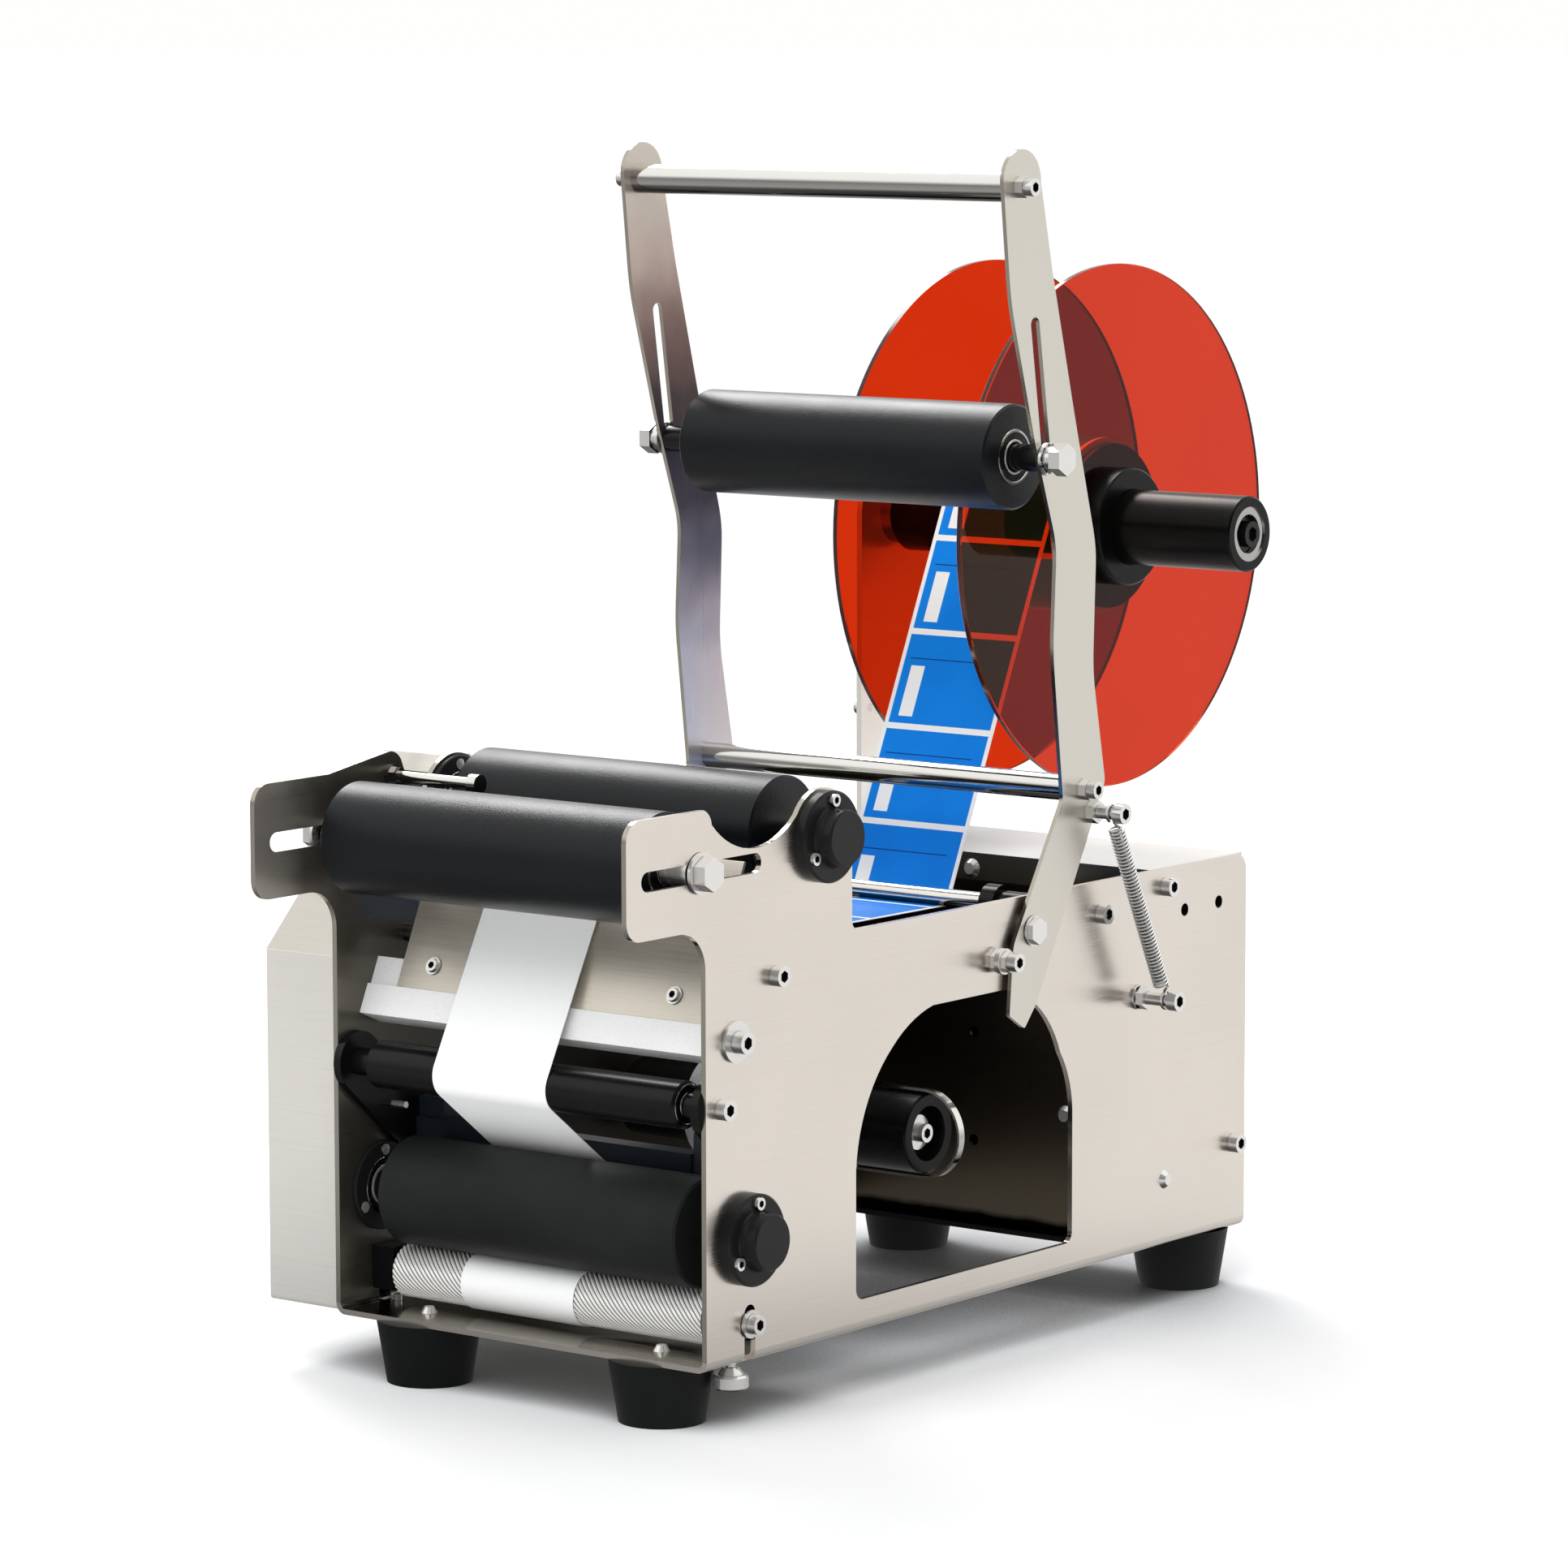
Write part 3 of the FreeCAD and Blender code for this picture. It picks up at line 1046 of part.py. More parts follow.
def make_arms():
    inner, gauge = D["arm_inner"], D["arm_gauge"]
    outline = arm_outline()
    py, pz = num(D["press_y"]), num(D["press_z"])
    travel = num(D["arm_slot_travel"])
    slot = stadium_path((py, pz), (py + SLIDE_Y * travel, pz + SLIDE_Z * travel), 3.3)
    for side, name in ((-1, "arm_left"), (1, "arm_right")):
        start = inner if side > 0 else -1.0 * inner - gauge
        plate = place(pad(outline, gauge, "YZ_Plane", [slot]), start, 0, 0)
        holes = [cylinder(start - 1.0, D["pivot_y"], D["pivot_z"], 4.06, 5.0),
                 cylinder(start - 1.0, D["handle_y"], D["handle_z"], SHANK, 5.0),
                 cylinder(start - 1.0, D["tie_y"], D["tie_z"], SHANK, 5.0),
                 cylinder(start - 1.0, D["upper_stud_y"], D["upper_stud_z"],
                          SHANK, 5.0)]
        node(name, cut(plate, *holes))
    rods = []
    for y, z, r in ((D["handle_y"], D["handle_z"], D["handle_radius"]),
                    (D["tie_y"], D["tie_z"], D["tie_radius"])):
        rod = cylinder(-1.0 * inner, y, z, r, inner * 2.0)
        bores = [cylinder(-120.0, y, z, SHANK, 24.0), cylinder(96.0, y, z, SHANK, 24.0)]
        rods.append(cut(rod, *bores))
    node("arm_rods", group(*rods))
    screws = []
    outer = num(inner) + num(gauge)
    for side, turn in ((-1, ALONG_MINUS_X), (1, ALONG_X)):
        for y, z in ((D["handle_y"], D["handle_z"]), (D["tie_y"], D["tie_z"])):
            nut = hexagon(side * outer, y, z, 9.6, NUT, turn)
            head = socket_screw(side * (outer + NUT), num(y), num(z), 4.0, 4.6,
                                turn, NUT + 8.0, SHANK)
            screws.append(fuse(nut, head))
        y, z = num(D["upper_stud_y"]), num(D["upper_stud_z"])
        base = cylinder(side * (outer - num(gauge)), y, z, SHANK, num(gauge), turn)
        nut = hexagon(side * outer, y, z, 11.0, NUT, turn)
        post = cylinder(side * (outer + NUT), y, z, D["stud_radius"], POST, turn)
        head = socket_screw(side * (outer + NUT + POST), y, z, 4.6, 5.0, turn)
        screws.append(fuse(base, nut, post, head))
    node("arm_screws", group(*screws))

    # pressure roller on the bolt that slides in the arms' slots
    left, right = D["press_left"], D["press_right"]
    y, z = D["press_y"], D["press_z"]
    roller = place(sleeve(None, D["press_radius"], 12.6, left, right), 0, y, z)
    bore = D["press_shaft_radius"] + 0.4
    rings = [place(turned([(0.0, bore), (0.0, 12.6), (8.0, 12.6), (8.0, bore)]),
                   start, y, z) for start in (left, right - 8.0)]
    node("pressure_roller", group(roller, *rings))
    # a bolt through both arms: shaft, neck in the slot, washer, nut and head
    shaft_end = num(inner) - 0.3
    washer_face = outer + 0.3
    axle = [cylinder(-shaft_end, y, z, D["press_shaft_radius"], 2.0 * shaft_end)]
    for side, turn in ((-1, ALONG_MINUS_X), (1, ALONG_X)):
        axle.append(cylinder(side * shaft_end, y, z, 3.0, washer_face - shaft_end, turn))
        axle.append(cylinder(side * washer_face, y, z, 7.4, 1.5, turn))
        axle.append(cylinder(side * (washer_face + 1.5), y, z, 6.0, 3.6, turn))
        axle.append(hexagon(side * (washer_face + 5.1), y, z, 15.0, 5.9, turn))
    node("pressure_axle", fuse(*axle))


def make_side_hardware():
    pins, studs, screws = [], [], []
    for side, turn in ((-1, ALONG_MINUS_X), (1, ALONG_X)):
        y, z = num(D["pivot_y"]), num(D["pivot_z"])
        pins.append(fuse(cylinder(side * 101.0, y, z, 3.0, 4.0, turn),
                         cylinder(side * 105.0, y, z, 7.0, 1.4, turn),
                         cylinder(side * 106.4, y, z, 4.0, 2.6, turn),
                         cylinder(side * 109.0, y, z, 6.9, 0.6, turn),
                         hexagon(side * 109.6, y, z, 12.6, 3.0, turn)))
        y, z = STOP
        stem = cylinder(side * 101.0, y, z, 3.0, 4.0, turn)
        nut = hexagon(side * 105.0, y, z, 10.6, 3.2, turn)
        bush = cylinder(side * 108.2, y, z, 5.9, 2.6, turn)
        lock = hexagon(side * 110.8, y, z, 10.0, 3.0, turn)
        head = socket_screw(side * 113.8, y, z, 4.2, 4.8, turn)
        studs.append(fuse(stem, nut, bush, lock, head))
        y, z = num(D["lower_stud_y"]), num(D["lower_stud_z"])
        studs.append(fuse(cylinder(side * 101.0, y, z, 3.0, 4.0, turn),
                          cylinder(side * 105.0, y, z, 5.9, 1.3, turn),
                          hexagon(side * 106.3, y, z, 11.0, 4.0, turn),
                          cylinder(side * 110.3, y, z, D["stud_radius"], 12.9, turn),
                          socket_screw(side * 123.2, y, z, 4.6, 5.0, turn)))
    node("pivot_pins", group(*pins))
    node("spring_posts", group(*studs))
    plate_face = num(HW)
    for y, z, radius, height, washer, depth in SIDE_BOLTS:
        if washer:
            screws.append(fuse(cylinder(plate_face, y, z, washer, WASHER),
                               socket_screw(plate_face + WASHER, y, z, radius, height,
                                            ALONG_X, depth, SHANK)))
        else:
            screws.append(socket_screw(plate_face, y, z, radius, height, ALONG_X,
                                       depth, SHANK))
    screws.append(fuse(cone(105.0, BUTTON[0], BUTTON[1], 4.4, 2.6, 2.2),
                       cylinder(101.0, BUTTON[0], BUTTON[1], SHANK, 4.0)))
    for y, z in BRACKET_BOLTS:
        screws.append(socket_screw(-108.0, y, z, 4.5, 5.0, ALONG_MINUS_X, 7.0, SHANK))
    screws.append(socket_screw(-108.0, 190.0, 263.0, 3.6, 4.5, ALONG_MINUS_X, 3.0, SHANK))
    for x, y in FEET:
        screws.append(fuse(cone(x, y, BELLY + 2.5, 3.8, 2.2, 2.6, LEVEL),
                           cylinder(x, y, 14.0, SHANK, 17.0, LEVEL)))
    # wall screws face the front
    face = Rotation(Vector(1, 0, 0), 90)
    wall_face = num(D["wall_front"])
    screws.append(cone(1.0, wall_face - COVER_LIP_GAUGE, 199.5, 4.6, 2.8, 2.4, face))
    screws.append(cone(55.0, wall_face, 86.5, 4.6, 2.8, 2.4, face))
    small = []
    for y, z in ((num(D["rear_roller_y"]), num(D["rear_roller_z"])),
                 (num(D["traction_y"]), num(D["traction_z"]))):
        for a, b in SCREW_SHIFTS:
            small.append(fuse(socket_screw(CAP_FACE, y + a, z + b, 2.75, 2.4),
                              cylinder(104.5, y + a, z + b, 1.3, 7.0)))
            small.append(fuse(cylinder(LEFT_SEAT, y + a, z + b, 2.5, 1.9),
                              cylinder(-103.0, y + a, z + b, 1.3, 2.0)))
    for side in (-1, 1):
        x, yy, zz = lean_point(side * 68.0, 11.0, 0.0)
        head = fuse(cylinder(x, yy, zz, 4.0, 0.8, LEAN),
                    cone(x, yy, zz, 3.4, 2.8, 2.2, LEAN))
        socket = hexagon(*lean_point(side * 68.0, 11.0, 0.5), 3.4, 2.0, LEAN)
        x, yy, zz = lean_point(side * 68.0, 11.0, -8.0)
        small.append(cut(fuse(head, cylinder(x, yy, zz, 1.6, 8.0, LEAN)), socket))
    node("frame_screws", group(*screws, *small))


# ---------------------------------------------------------------- springs

def make_springs():
    uy, uz = num(D["upper_stud_y"]), num(D["upper_stud_z"])
    ly, lz = num(D["lower_stud_y"]), num(D["lower_stud_z"])
    span = math.hypot(uy - ly, uz - lz)
    angle = math.degrees(math.atan2(uz - lz, uy - ly))
    along = Rotation(Vector(1, 0, 0), angle - 90.0)
    way = ((uy - ly) / span, (uz - lz) / span)
    for side, tag in ((-1, "left"), (1, "right")):
        x = side * num(D["spring_plane"])

        def spot(d):
            return (x, ly + way[0] * d, lz + way[1] * d)

        coil = cut(cylinder(*spot(7.4), D["spring_radius"], span - 14.0, along),
                   cylinder(*spot(9.0), D["spring_bore"], span, along))
        neck = cylinder(*spot(4.2), 0.7, 5.8, along)
        eye = cut(cylinder(x - 0.9, ly, lz, 5.2, 1.8),
                  cylinder(x - 2.0, ly, lz, 3.3, 4.0))
        node("spring_" + tag, fuse(coil, neck, eye))
        eye = cut(cylinder(x - 0.9, uy, uz, 5.2, 1.8),
                  cylinder(x - 2.0, uy, uz, 3.3, 4.0))
        rod = cylinder(*spot(30.0), 2.2, span - 30.0 - 7.0, along)
        neck = cylinder(*spot(span - 8.0), 0.7, 3.9, along)
        node("spring_hook_" + tag, fuse(eye, rod, neck))


make_chassis()
make_feet()
make_rear()
make_control_box()
make_bearings()
make_rollers()
make_label_path()
make_rewind()
make_reel()
make_arms()
make_side_hardware()
make_springs()
doc.recompute()

faults = []
for thing in doc.Objects:
    states = [state for state in thing.State if state in ("Invalid", "Error")]
    if states:
        faults.append("%s %s %s" % (thing.Name, thing.Label, states))
for name, thing in nodes.items():
    shape = thing.Shape
    if shape.isNull() or not shape.isValid() or not shape.Solids:
        faults.append("bad shape " + name)
if faults:
    raise RuntimeError("; ".join(faults))

os.makedirs("parts", exist_ok=True)
for name, thing in nodes.items():
    thing.Shape.exportStep("parts/%s.step" % name)
print("sub-parts:", len(nodes))
for name, thing in sorted(nodes.items()):
    box = thing.Shape.BoundBox
    print("%-26s %2d solids  x %.1f..%.1f  y %.1f..%.1f  z %.1f..%.1f  V %.0f" % (
        name, len(thing.Shape.Solids), box.XMin, box.XMax, box.YMin, box.YMax,
        box.ZMin, box.ZMax, thing.Shape.Volume))
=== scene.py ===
import math

import bmesh
import bpy
from mathutils import Matrix, Vector
from mathutils.bvhtree import BVHTree


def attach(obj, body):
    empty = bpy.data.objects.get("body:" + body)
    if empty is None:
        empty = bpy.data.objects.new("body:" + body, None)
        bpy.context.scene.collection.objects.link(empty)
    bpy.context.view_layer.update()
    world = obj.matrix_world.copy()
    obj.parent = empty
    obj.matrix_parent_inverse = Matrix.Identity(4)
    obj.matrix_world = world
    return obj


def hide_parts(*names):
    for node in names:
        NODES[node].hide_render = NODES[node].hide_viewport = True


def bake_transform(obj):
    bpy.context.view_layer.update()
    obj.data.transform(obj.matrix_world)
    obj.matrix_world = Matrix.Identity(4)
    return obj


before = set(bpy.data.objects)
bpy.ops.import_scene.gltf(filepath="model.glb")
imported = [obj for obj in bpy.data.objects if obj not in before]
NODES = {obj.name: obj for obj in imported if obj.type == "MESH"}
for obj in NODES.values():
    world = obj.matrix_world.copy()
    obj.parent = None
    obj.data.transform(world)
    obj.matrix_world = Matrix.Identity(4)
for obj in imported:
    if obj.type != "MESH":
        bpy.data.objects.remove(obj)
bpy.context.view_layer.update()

MM = 0.001

# ------------------------------------------------------------------ camera

CAMERA_PLACE = Vector((1.76096, -2.30003, 0.61966))
CAMERA_LOOK = Vector((-0.6056179, 0.7857575, -0.12574622))
CAMERA_ROLL = math.radians(-0.107)
CAMERA_LENS = 147.03
SENSOR_WIDTH = 36.0


def make_camera():
    data = bpy.data.cameras.new("camera")
    data.lens = CAMERA_LENS
    data.sensor_width = SENSOR_WIDTH
    data.clip_start, data.clip_end = 0.1, 50.0
    camera = bpy.data.objects.new("camera", data)
    bpy.context.scene.collection.objects.link(camera)
    turn = CAMERA_LOOK.to_track_quat("-Z", "Y").to_matrix().to_4x4()
    roll = Matrix.Rotation(CAMERA_ROLL, 4, "Z")
    camera.matrix_world = Matrix.Translation(CAMERA_PLACE) @ turn @ roll
    bpy.context.scene.camera = camera


# ------------------------------------------------------------------ node helpers

class Shader:
    """A small wrapper that builds one node material."""

    def __init__(self, name):
        self.material = bpy.data.materials.new(name)
        self.material.use_nodes = True
        self.tree = self.material.node_tree
        self.nodes, self.links = self.tree.nodes, self.tree.links
        self.nodes.clear()
        self.output = self.add("ShaderNodeOutputMaterial")
        self.surface = self.add("ShaderNodeBsdfPrincipled")
        self.link(self.surface.outputs[0], self.output.inputs["Surface"])

    def add(self, kind, **values):
        node = self.nodes.new(kind)
        for key, value in values.items():
            setattr(node, key, value)
        return node

    def link(self, source, target):
        self.links.new(source, target)

    def put(self, **values):
        for key, value in values.items():
            name = key.replace("_", " ")
            self.surface.inputs[name].default_value = value

    def place(self, scale=(1.0, 1.0, 1.0), source="Object"):
        coordinates = self.add("ShaderNodeTexCoord")
        mapping = self.add("ShaderNodeMapping")
        mapping.inputs["Scale"].default_value = scale
        self.link(coordinates.outputs[source], mapping.inputs["Vector"])
        return mapping.outputs["Vector"]

    def noise(self, vector, scale, detail=3.0, roughness=0.5):
        node = self.add("ShaderNodeTexNoise")
        node.inputs["Scale"].default_value = scale
        node.inputs["Detail"].default_value = detail
        node.inputs["Roughness"].default_value = roughness
        self.link(vector, node.inputs["Vector"])
        return node.outputs["Fac"]

    def ramp(self, value, stops):
        node = self.add("ShaderNodeValToRGB")
        marks = node.color_ramp.elements
        while len(marks) < len(stops):
            marks.new(0.5)
        for mark, (place, colour) in zip(marks, stops):
            mark.position = place
            mark.color = (*colour, 1.0)
        self.link(value, node.inputs["Fac"])
        return node.outputs["Color"]

    def spread(self, value, low, high, start=0.0, end=1.0):
        node = self.add("ShaderNodeMapRange")
        node.inputs["From Min"].default_value = start
        node.inputs["From Max"].default_value = end
        node.inputs["To Min"].default_value = low
        node.inputs["To Max"].default_value = high
        self.link(value, node.inputs["Value"])
        return node.outputs["Result"]

    def math(self, operation, first, second=0.0):
        node = self.add("ShaderNodeMath", operation=operation)
        for socket, value in zip(node.inputs, (first, second)):
            if isinstance(value, (int, float)):
                socket.default_value = value
            else:
                self.link(value, socket)
        return node.outputs[0]

    def bump(self, height, strength, distance):
        node = self.add("ShaderNodeBump")
        node.inputs["Strength"].default_value = strength
        node.inputs["Distance"].default_value = distance
        self.link(height, node.inputs["Height"])
        self.link(node.outputs["Normal"], self.surface.inputs["Normal"])

    def colour(self, source):
        self.link(source, self.surface.inputs["Base Color"])

    def roughen(self, value, limits):
        """Roughness from the first limit to the second as the noise goes up."""
        self.link(self.spread(value, limits[0], limits[1], 0.3, 0.7),
                  self.surface.inputs["Roughness"])

    def mix(self, factor, first, second, blend="MIX"):
        """Two colours, each a tuple or a socket."""
        node = self.add("ShaderNodeMix", data_type="RGBA", blend_type=blend)
        if isinstance(factor, float):
            node.inputs["Factor"].default_value = factor
        else:
            self.link(factor, node.inputs["Factor"])
        sockets = [i for i in node.inputs if i.type == "RGBA"]
        for socket, value in zip(sockets, (first, second)):
            if isinstance(value, tuple):
                socket.default_value = (*value, 1.0)
            else:
                self.link(value, socket)
        return [o for o in node.outputs if o.type == "RGBA"][0]

    def split(self, vector):
        node = self.add("ShaderNodeSeparateXYZ")
        self.link(vector, node.inputs[0])
        return node.outputs

    def finish_with(self, factor, first, second):
        """The material's surface is a blend of two shaders."""
        choice = self.add("ShaderNodeMixShader")
        self.link(factor, choice.inputs["Fac"])
        self.link(first, choice.inputs[1])
        self.link(second, choice.inputs[2])
        self.link(choice.outputs[0], self.output.inputs["Surface"])


def tone(colour, factor):
    return tuple(channel * factor for channel in colour)


# ------------------------------------------------------------------ materials

STEEL = (0.66, 0.62, 0.56)
LONGWAYS = (9.0, 9.0, 1500.0)       # scratches that run level along the sheet


def brushed(name, colour=STEEL, grain=LONGWAYS, rough=(0.27, 0.36), bump=0.07,
            depth=0.05, metal=1.0, shine=0.5):
    """Rolled stainless sheet: long fine scratches and faint cloudy staining."""
    s = Shader(name)
    s.put(Metallic=metal, Anisotropic=0.55, Specular_IOR_Level=shine)
    tangent = s.add("ShaderNodeTangent", direction_type="RADIAL", axis="Z")
    s.link(tangent.outputs[0], s.surface.inputs["Tangent"])
    scratches = s.noise(s.place(grain), 1.0, 8.0, 0.7)
    clouds = s.noise(s.place((1.0, 1.0, 1.0)), 9.0, 3.0, 0.55)
    mixed = s.math("ADD", s.math("MULTIPLY", scratches, 0.6),
                   s.math("MULTIPLY", clouds, 0.4))
    s.colour(s.ramp(mixed, [(0.38, tone(colour, 1.0 - depth)),
                            (0.62, tone(colour, 1.0 + 0.5 * depth))]))
    s.roughen(scratches, rough)
    s.bump(scratches, bump, 0.08 * MM)
    return s


def brushed_steel(*values, **more):
    return brushed(*values, **more).material


def steel_with_painted_reflection(name, heights, axis="Z", grain=(240.0, 700.0, 14.0), drift=0.03,
                  **more):
    """Sheet that changes tone along one axis: painted reflection and painted shade of what
    stands before it.
    """
    s = brushed(name, grain=grain, rough=(0.26, 0.36), **more)
    vector = s.place()
    along = s.split(vector)[axis]
    clouds = s.math("MULTIPLY", s.noise(vector, 45.0, 2.0), drift)
    low, high = heights[0][0] * MM, heights[-1][0] * MM
    level = s.spread(s.math("ADD", clouds, along), 0.0, 1.0, low + 0.5 * drift,
                     high + 0.5 * drift)
    s.colour(s.ramp(level, [((height * MM - low) / (high - low), colour)
                            for height, colour in heights]))
    return s.material


# painted shade and painted reflection: tones from the faces that look down to those that
# look up
EVEN_PAINTED_SHADE = ((0.0, 0.95), (1.0, 1.0))
COIL_PAINTED_SHADE = ((0.28, 0.02), (0.41, 0.18), (0.50, 0.90), (0.62, 1.0))
ROD_PAINTED_REFLECTION = ((0.10, 0.06), (0.27, 0.16), (0.36, 0.62), (0.52, 0.46), (0.62, 0.95), (1.0, 1.0))
BOLT_PAINTED_SHADE = ((0.10, 0.05), (0.30, 0.18), (0.44, 0.78), (0.60, 0.92), (1.0, 1.0))


def polished_metal(name, colour, rough=(0.08, 0.18), scale=400.0, bump=0.03,
                   metal=1.0, painted_bands=EVEN_PAINTED_SHADE, shadow=None):
    """Plated metal with an uneven polish; the bands paint shade and reflection, darker on
    faces that look down and lighter on those that look up.
    """
    s = Shader(name)
    s.put(Metallic=metal)
    grain = s.noise(s.place((0.15, 1.0, 1.0)), scale, 3.0)
    facing = s.split(s.add("ShaderNodeTexCoord").outputs["Normal"])
    level = s.math("ADD", s.spread(facing["Z"], 0.0, 1.0, -1.0, 1.0),
                   s.math("MULTIPLY", s.math("SUBTRACT", grain, 0.5), 0.02))
    shade = s.ramp(level, [(place, tone(colour, value)) for place, value in painted_bands])
    if shadow:
        # painted shade: corners, and the gaps between the turns of a spring, go dark
        around = s.add("ShaderNodeAmbientOcclusion", samples=6)
        around.inputs["Distance"].default_value = shadow
        shade = s.mix(1.0, shade, s.ramp(around.outputs["AO"], [
            (0.30, (0.02, 0.02, 0.02)), (0.62, (1.0, 1.0, 1.0))]), "MULTIPLY")
    s.colour(shade)
    s.roughen(grain, rough)
    s.bump(grain, bump, 0.05 * MM)
    return s.material


def knurled_metal(name):
    """Bright points with painted shade in the valleys, told apart by their distance from the
    axis.
    """
    s = Shader(name)
    s.put(Metallic=0.30, Roughness=0.25)
    shift = s.add("ShaderNodeMapping")
    shift.inputs["Location"].default_value = (0.0, -PINCH.y, -PINCH.z)
    shift.inputs["Scale"].default_value = (0.0, 1.0, 1.0)
    s.link(s.add("ShaderNodeTexCoord").outputs["Object"], shift.inputs["Vector"])
    reach = s.add("ShaderNodeVectorMath", operation="LENGTH")
    s.link(shift.outputs["Vector"], reach.inputs[0])
    rise = s.spread(reach.outputs["Value"], 0.0, 1.0, PINCH_RADIUS - KNURL_DEPTH,
                    PINCH_RADIUS)
    # painted shade in the valleys, bright points on top
    s.colour(s.ramp(rise, [(0.12, (0.12, 0.115, 0.11)), (0.36, (0.90, 0.89, 0.86)),
                           (0.7, (0.98, 0.975, 0.96))]))
    return s.material


def black_finish(name, colour, rough, scale, bump, distance=0.12 * MM, coat=0.0,
                 shine=0.25):
    """Rubber, moulded plastic or anodised metal with a fine even texture."""
    s = Shader(name)
    s.put(Coat_Weight=coat, Coat_Roughness=0.15, Specular_IOR_Level=shine)
    vector = s.place()
    fine = s.noise(vector, scale, 3.0, 0.6)
    broad = s.noise(vector, 14.0, 3.0, 0.6)
    s.colour(s.ramp(broad, [(0.3, tone(colour, 0.8)), (0.7, tone(colour, 1.25))]))
    s.roughen(broad, rough)
    s.bump(fine, bump, distance)
    return s.material


def orange_acrylic(name, bend):
    """Cast acrylic tinted in the mass; a second sheet behind the first goes dark."""
    s = Shader(name)
    s.put(Roughness=0.01, IOR=bend, Transmission_Weight=1.0)
    haze = s.noise(s.place(), 6.0, 2.0)
    single = s.ramp(haze, [(0.3, (0.64, 0.028, 0.003)), (0.7, (0.68, 0.032, 0.004))])
    path = s.add("ShaderNodeLightPath").outputs
    second = s.math("GREATER_THAN", path["Transmission Depth"], 1.5)
    s.colour(s.mix(second, single, (0.22, 0.020, 0.014)))
    # light gets through the sheet to the labels and the cover, and gloss sees little of it
    through = s.add("ShaderNodeBsdfTransparent")
    through.inputs["Color"].default_value = (0.95, 0.90, 0.88, 1.0)
    seen = s.math("MAXIMUM", path["Is Camera Ray"], path["Is Transmission Ray"])
    s.finish_with(seen, through.outputs[0], s.surface.outputs[0])
    return s.material


def speckled_aluminium(name):
    """Sand-blasted and clear anodised bar."""
    s = Shader(name)
    s.put(Metallic=0.2, Roughness=0.5)
    speck = s.noise(s.place(), 1300.0, 4.0, 0.7)
    s.colour(s.ramp(speck, [(0.32, (0.80, 0.81, 0.81)), (0.45, (0.95, 0.96, 0.95)),
                            (0.7, (0.98, 0.98, 0.97))]))
    s.bump(speck, 0.25, 0.1 * MM)
    return s.material


def paper(name, colour=(0.95, 0.955, 0.95)):
    s = Shader(name)
    s.put(Roughness=0.42)
    fibre = s.noise(s.place(), 700.0, 4.0, 0.6)
    s.colour(s.ramp(fibre, [(0.3, tone(colour, 0.97)), (0.7, colour)]))
    s.bump(fibre, 0.05, 0.05 * MM)
    return s.material


PAPER_TURN = 0.6 * MM               # radial step of the turns that can be told apart


def wound_paper(name, colour, dark):
    """The side of a roll: fine turns of paper."""
    s = Shader(name)
    s.put(Roughness=0.7)
    radial = s.split(s.add("ShaderNodeTexCoord").outputs["UV"])
    turns = s.math("FRACT", s.math("MULTIPLY", radial["Y"], 1.0 / PAPER_TURN))
    rings = s.noise(s.place((0.0, 1.0, 0.0), "UV"), 2600.0, 2.0)
    shade = s.math("MULTIPLY", s.math("ABSOLUTE", s.math("SUBTRACT", turns, 0.5)), 1.2)
    mixed = s.math("ADD", s.math("MULTIPLY", shade, 0.5), s.math("MULTIPLY", rings, 0.5))
    s.colour(s.ramp(mixed, [(0.25, dark), (0.6, colour)]))
    s.bump(shade, 0.3, 0.1 * MM)
    return s.material


# label strip: the UV's v runs along the web and u across it, both in metres
LABEL_PITCH = 47.6 * MM
LABEL_GAP = 3.0 * MM
LABEL_MARGIN = 2.2 * MM
WEB_WIDTH = 64.0 * MM
PANEL = ((7.0, 15.0), (18.6, 44.0))        # white field: across, along, in mm
RULE = ((5.2, 55.8), (14.7, 15.3))         # thin rule above the field


def label_print(name):
    """White liner with blue printed labels: a plain white field and one rule."""
    s = Shader(name)
    s.put(Roughness=0.4, Specular_IOR_Level=0.12)
    flat = s.split(s.add("ShaderNodeTexCoord").outputs["UV"])
    across, along = flat["X"], flat["Y"]
    step = s.math("MULTIPLY", s.math("FRACT", s.math("DIVIDE", along, LABEL_PITCH)),
                  LABEL_PITCH)

    def between(value, low, high):
        return s.math("MULTIPLY", s.math("GREATER_THAN", value, low),
                      s.math("LESS_THAN", value, high))

    def field(limits_across, limits_along):
        return s.math("MULTIPLY", between(across, *limits_across),
                      between(step, *limits_along))

    label = field((LABEL_MARGIN, WEB_WIDTH - LABEL_MARGIN),
                  (LABEL_GAP, LABEL_PITCH))
    window = field(*[tuple(v * MM for v in pair) for pair in PANEL])
    rule = field(*[tuple(v * MM for v in pair) for pair in RULE])
    blue = s.ramp(s.noise(s.place(), 30.0, 2.0),
                  [(0.3, (0.002, 0.20, 0.74)), (0.7, (0.003, 0.235, 0.82))])

    white = (0.93, 0.935, 0.93)
    colour = s.mix(label, white, blue)
    colour = s.mix(rule, colour, (0.004, 0.05, 0.25))
    s.colour(s.mix(window, colour, white))
    return s.material


M = {}

# centres of the rollers, Y and Z in mm
FRONT_ROLLER = (-209.6, 243.8)
REAR_ROLLER = (-124.4, 250.5)
PRESS_ROLLER = (36.6, 403.6)
GUIDE_ROLLER = (-195.5, 141.0)
TRACTION_ROLLER = (-177.8, 82.4)
REEL_AXIS = (213.0, 357.0)

PINCH = Vector((0.0, -176.2, 45.2)) * MM
PINCH_RADIUS = 12.0 * MM
PINCH_HALF = 88.5 * MM
KNURL_DEPTH = 0.45 * MM


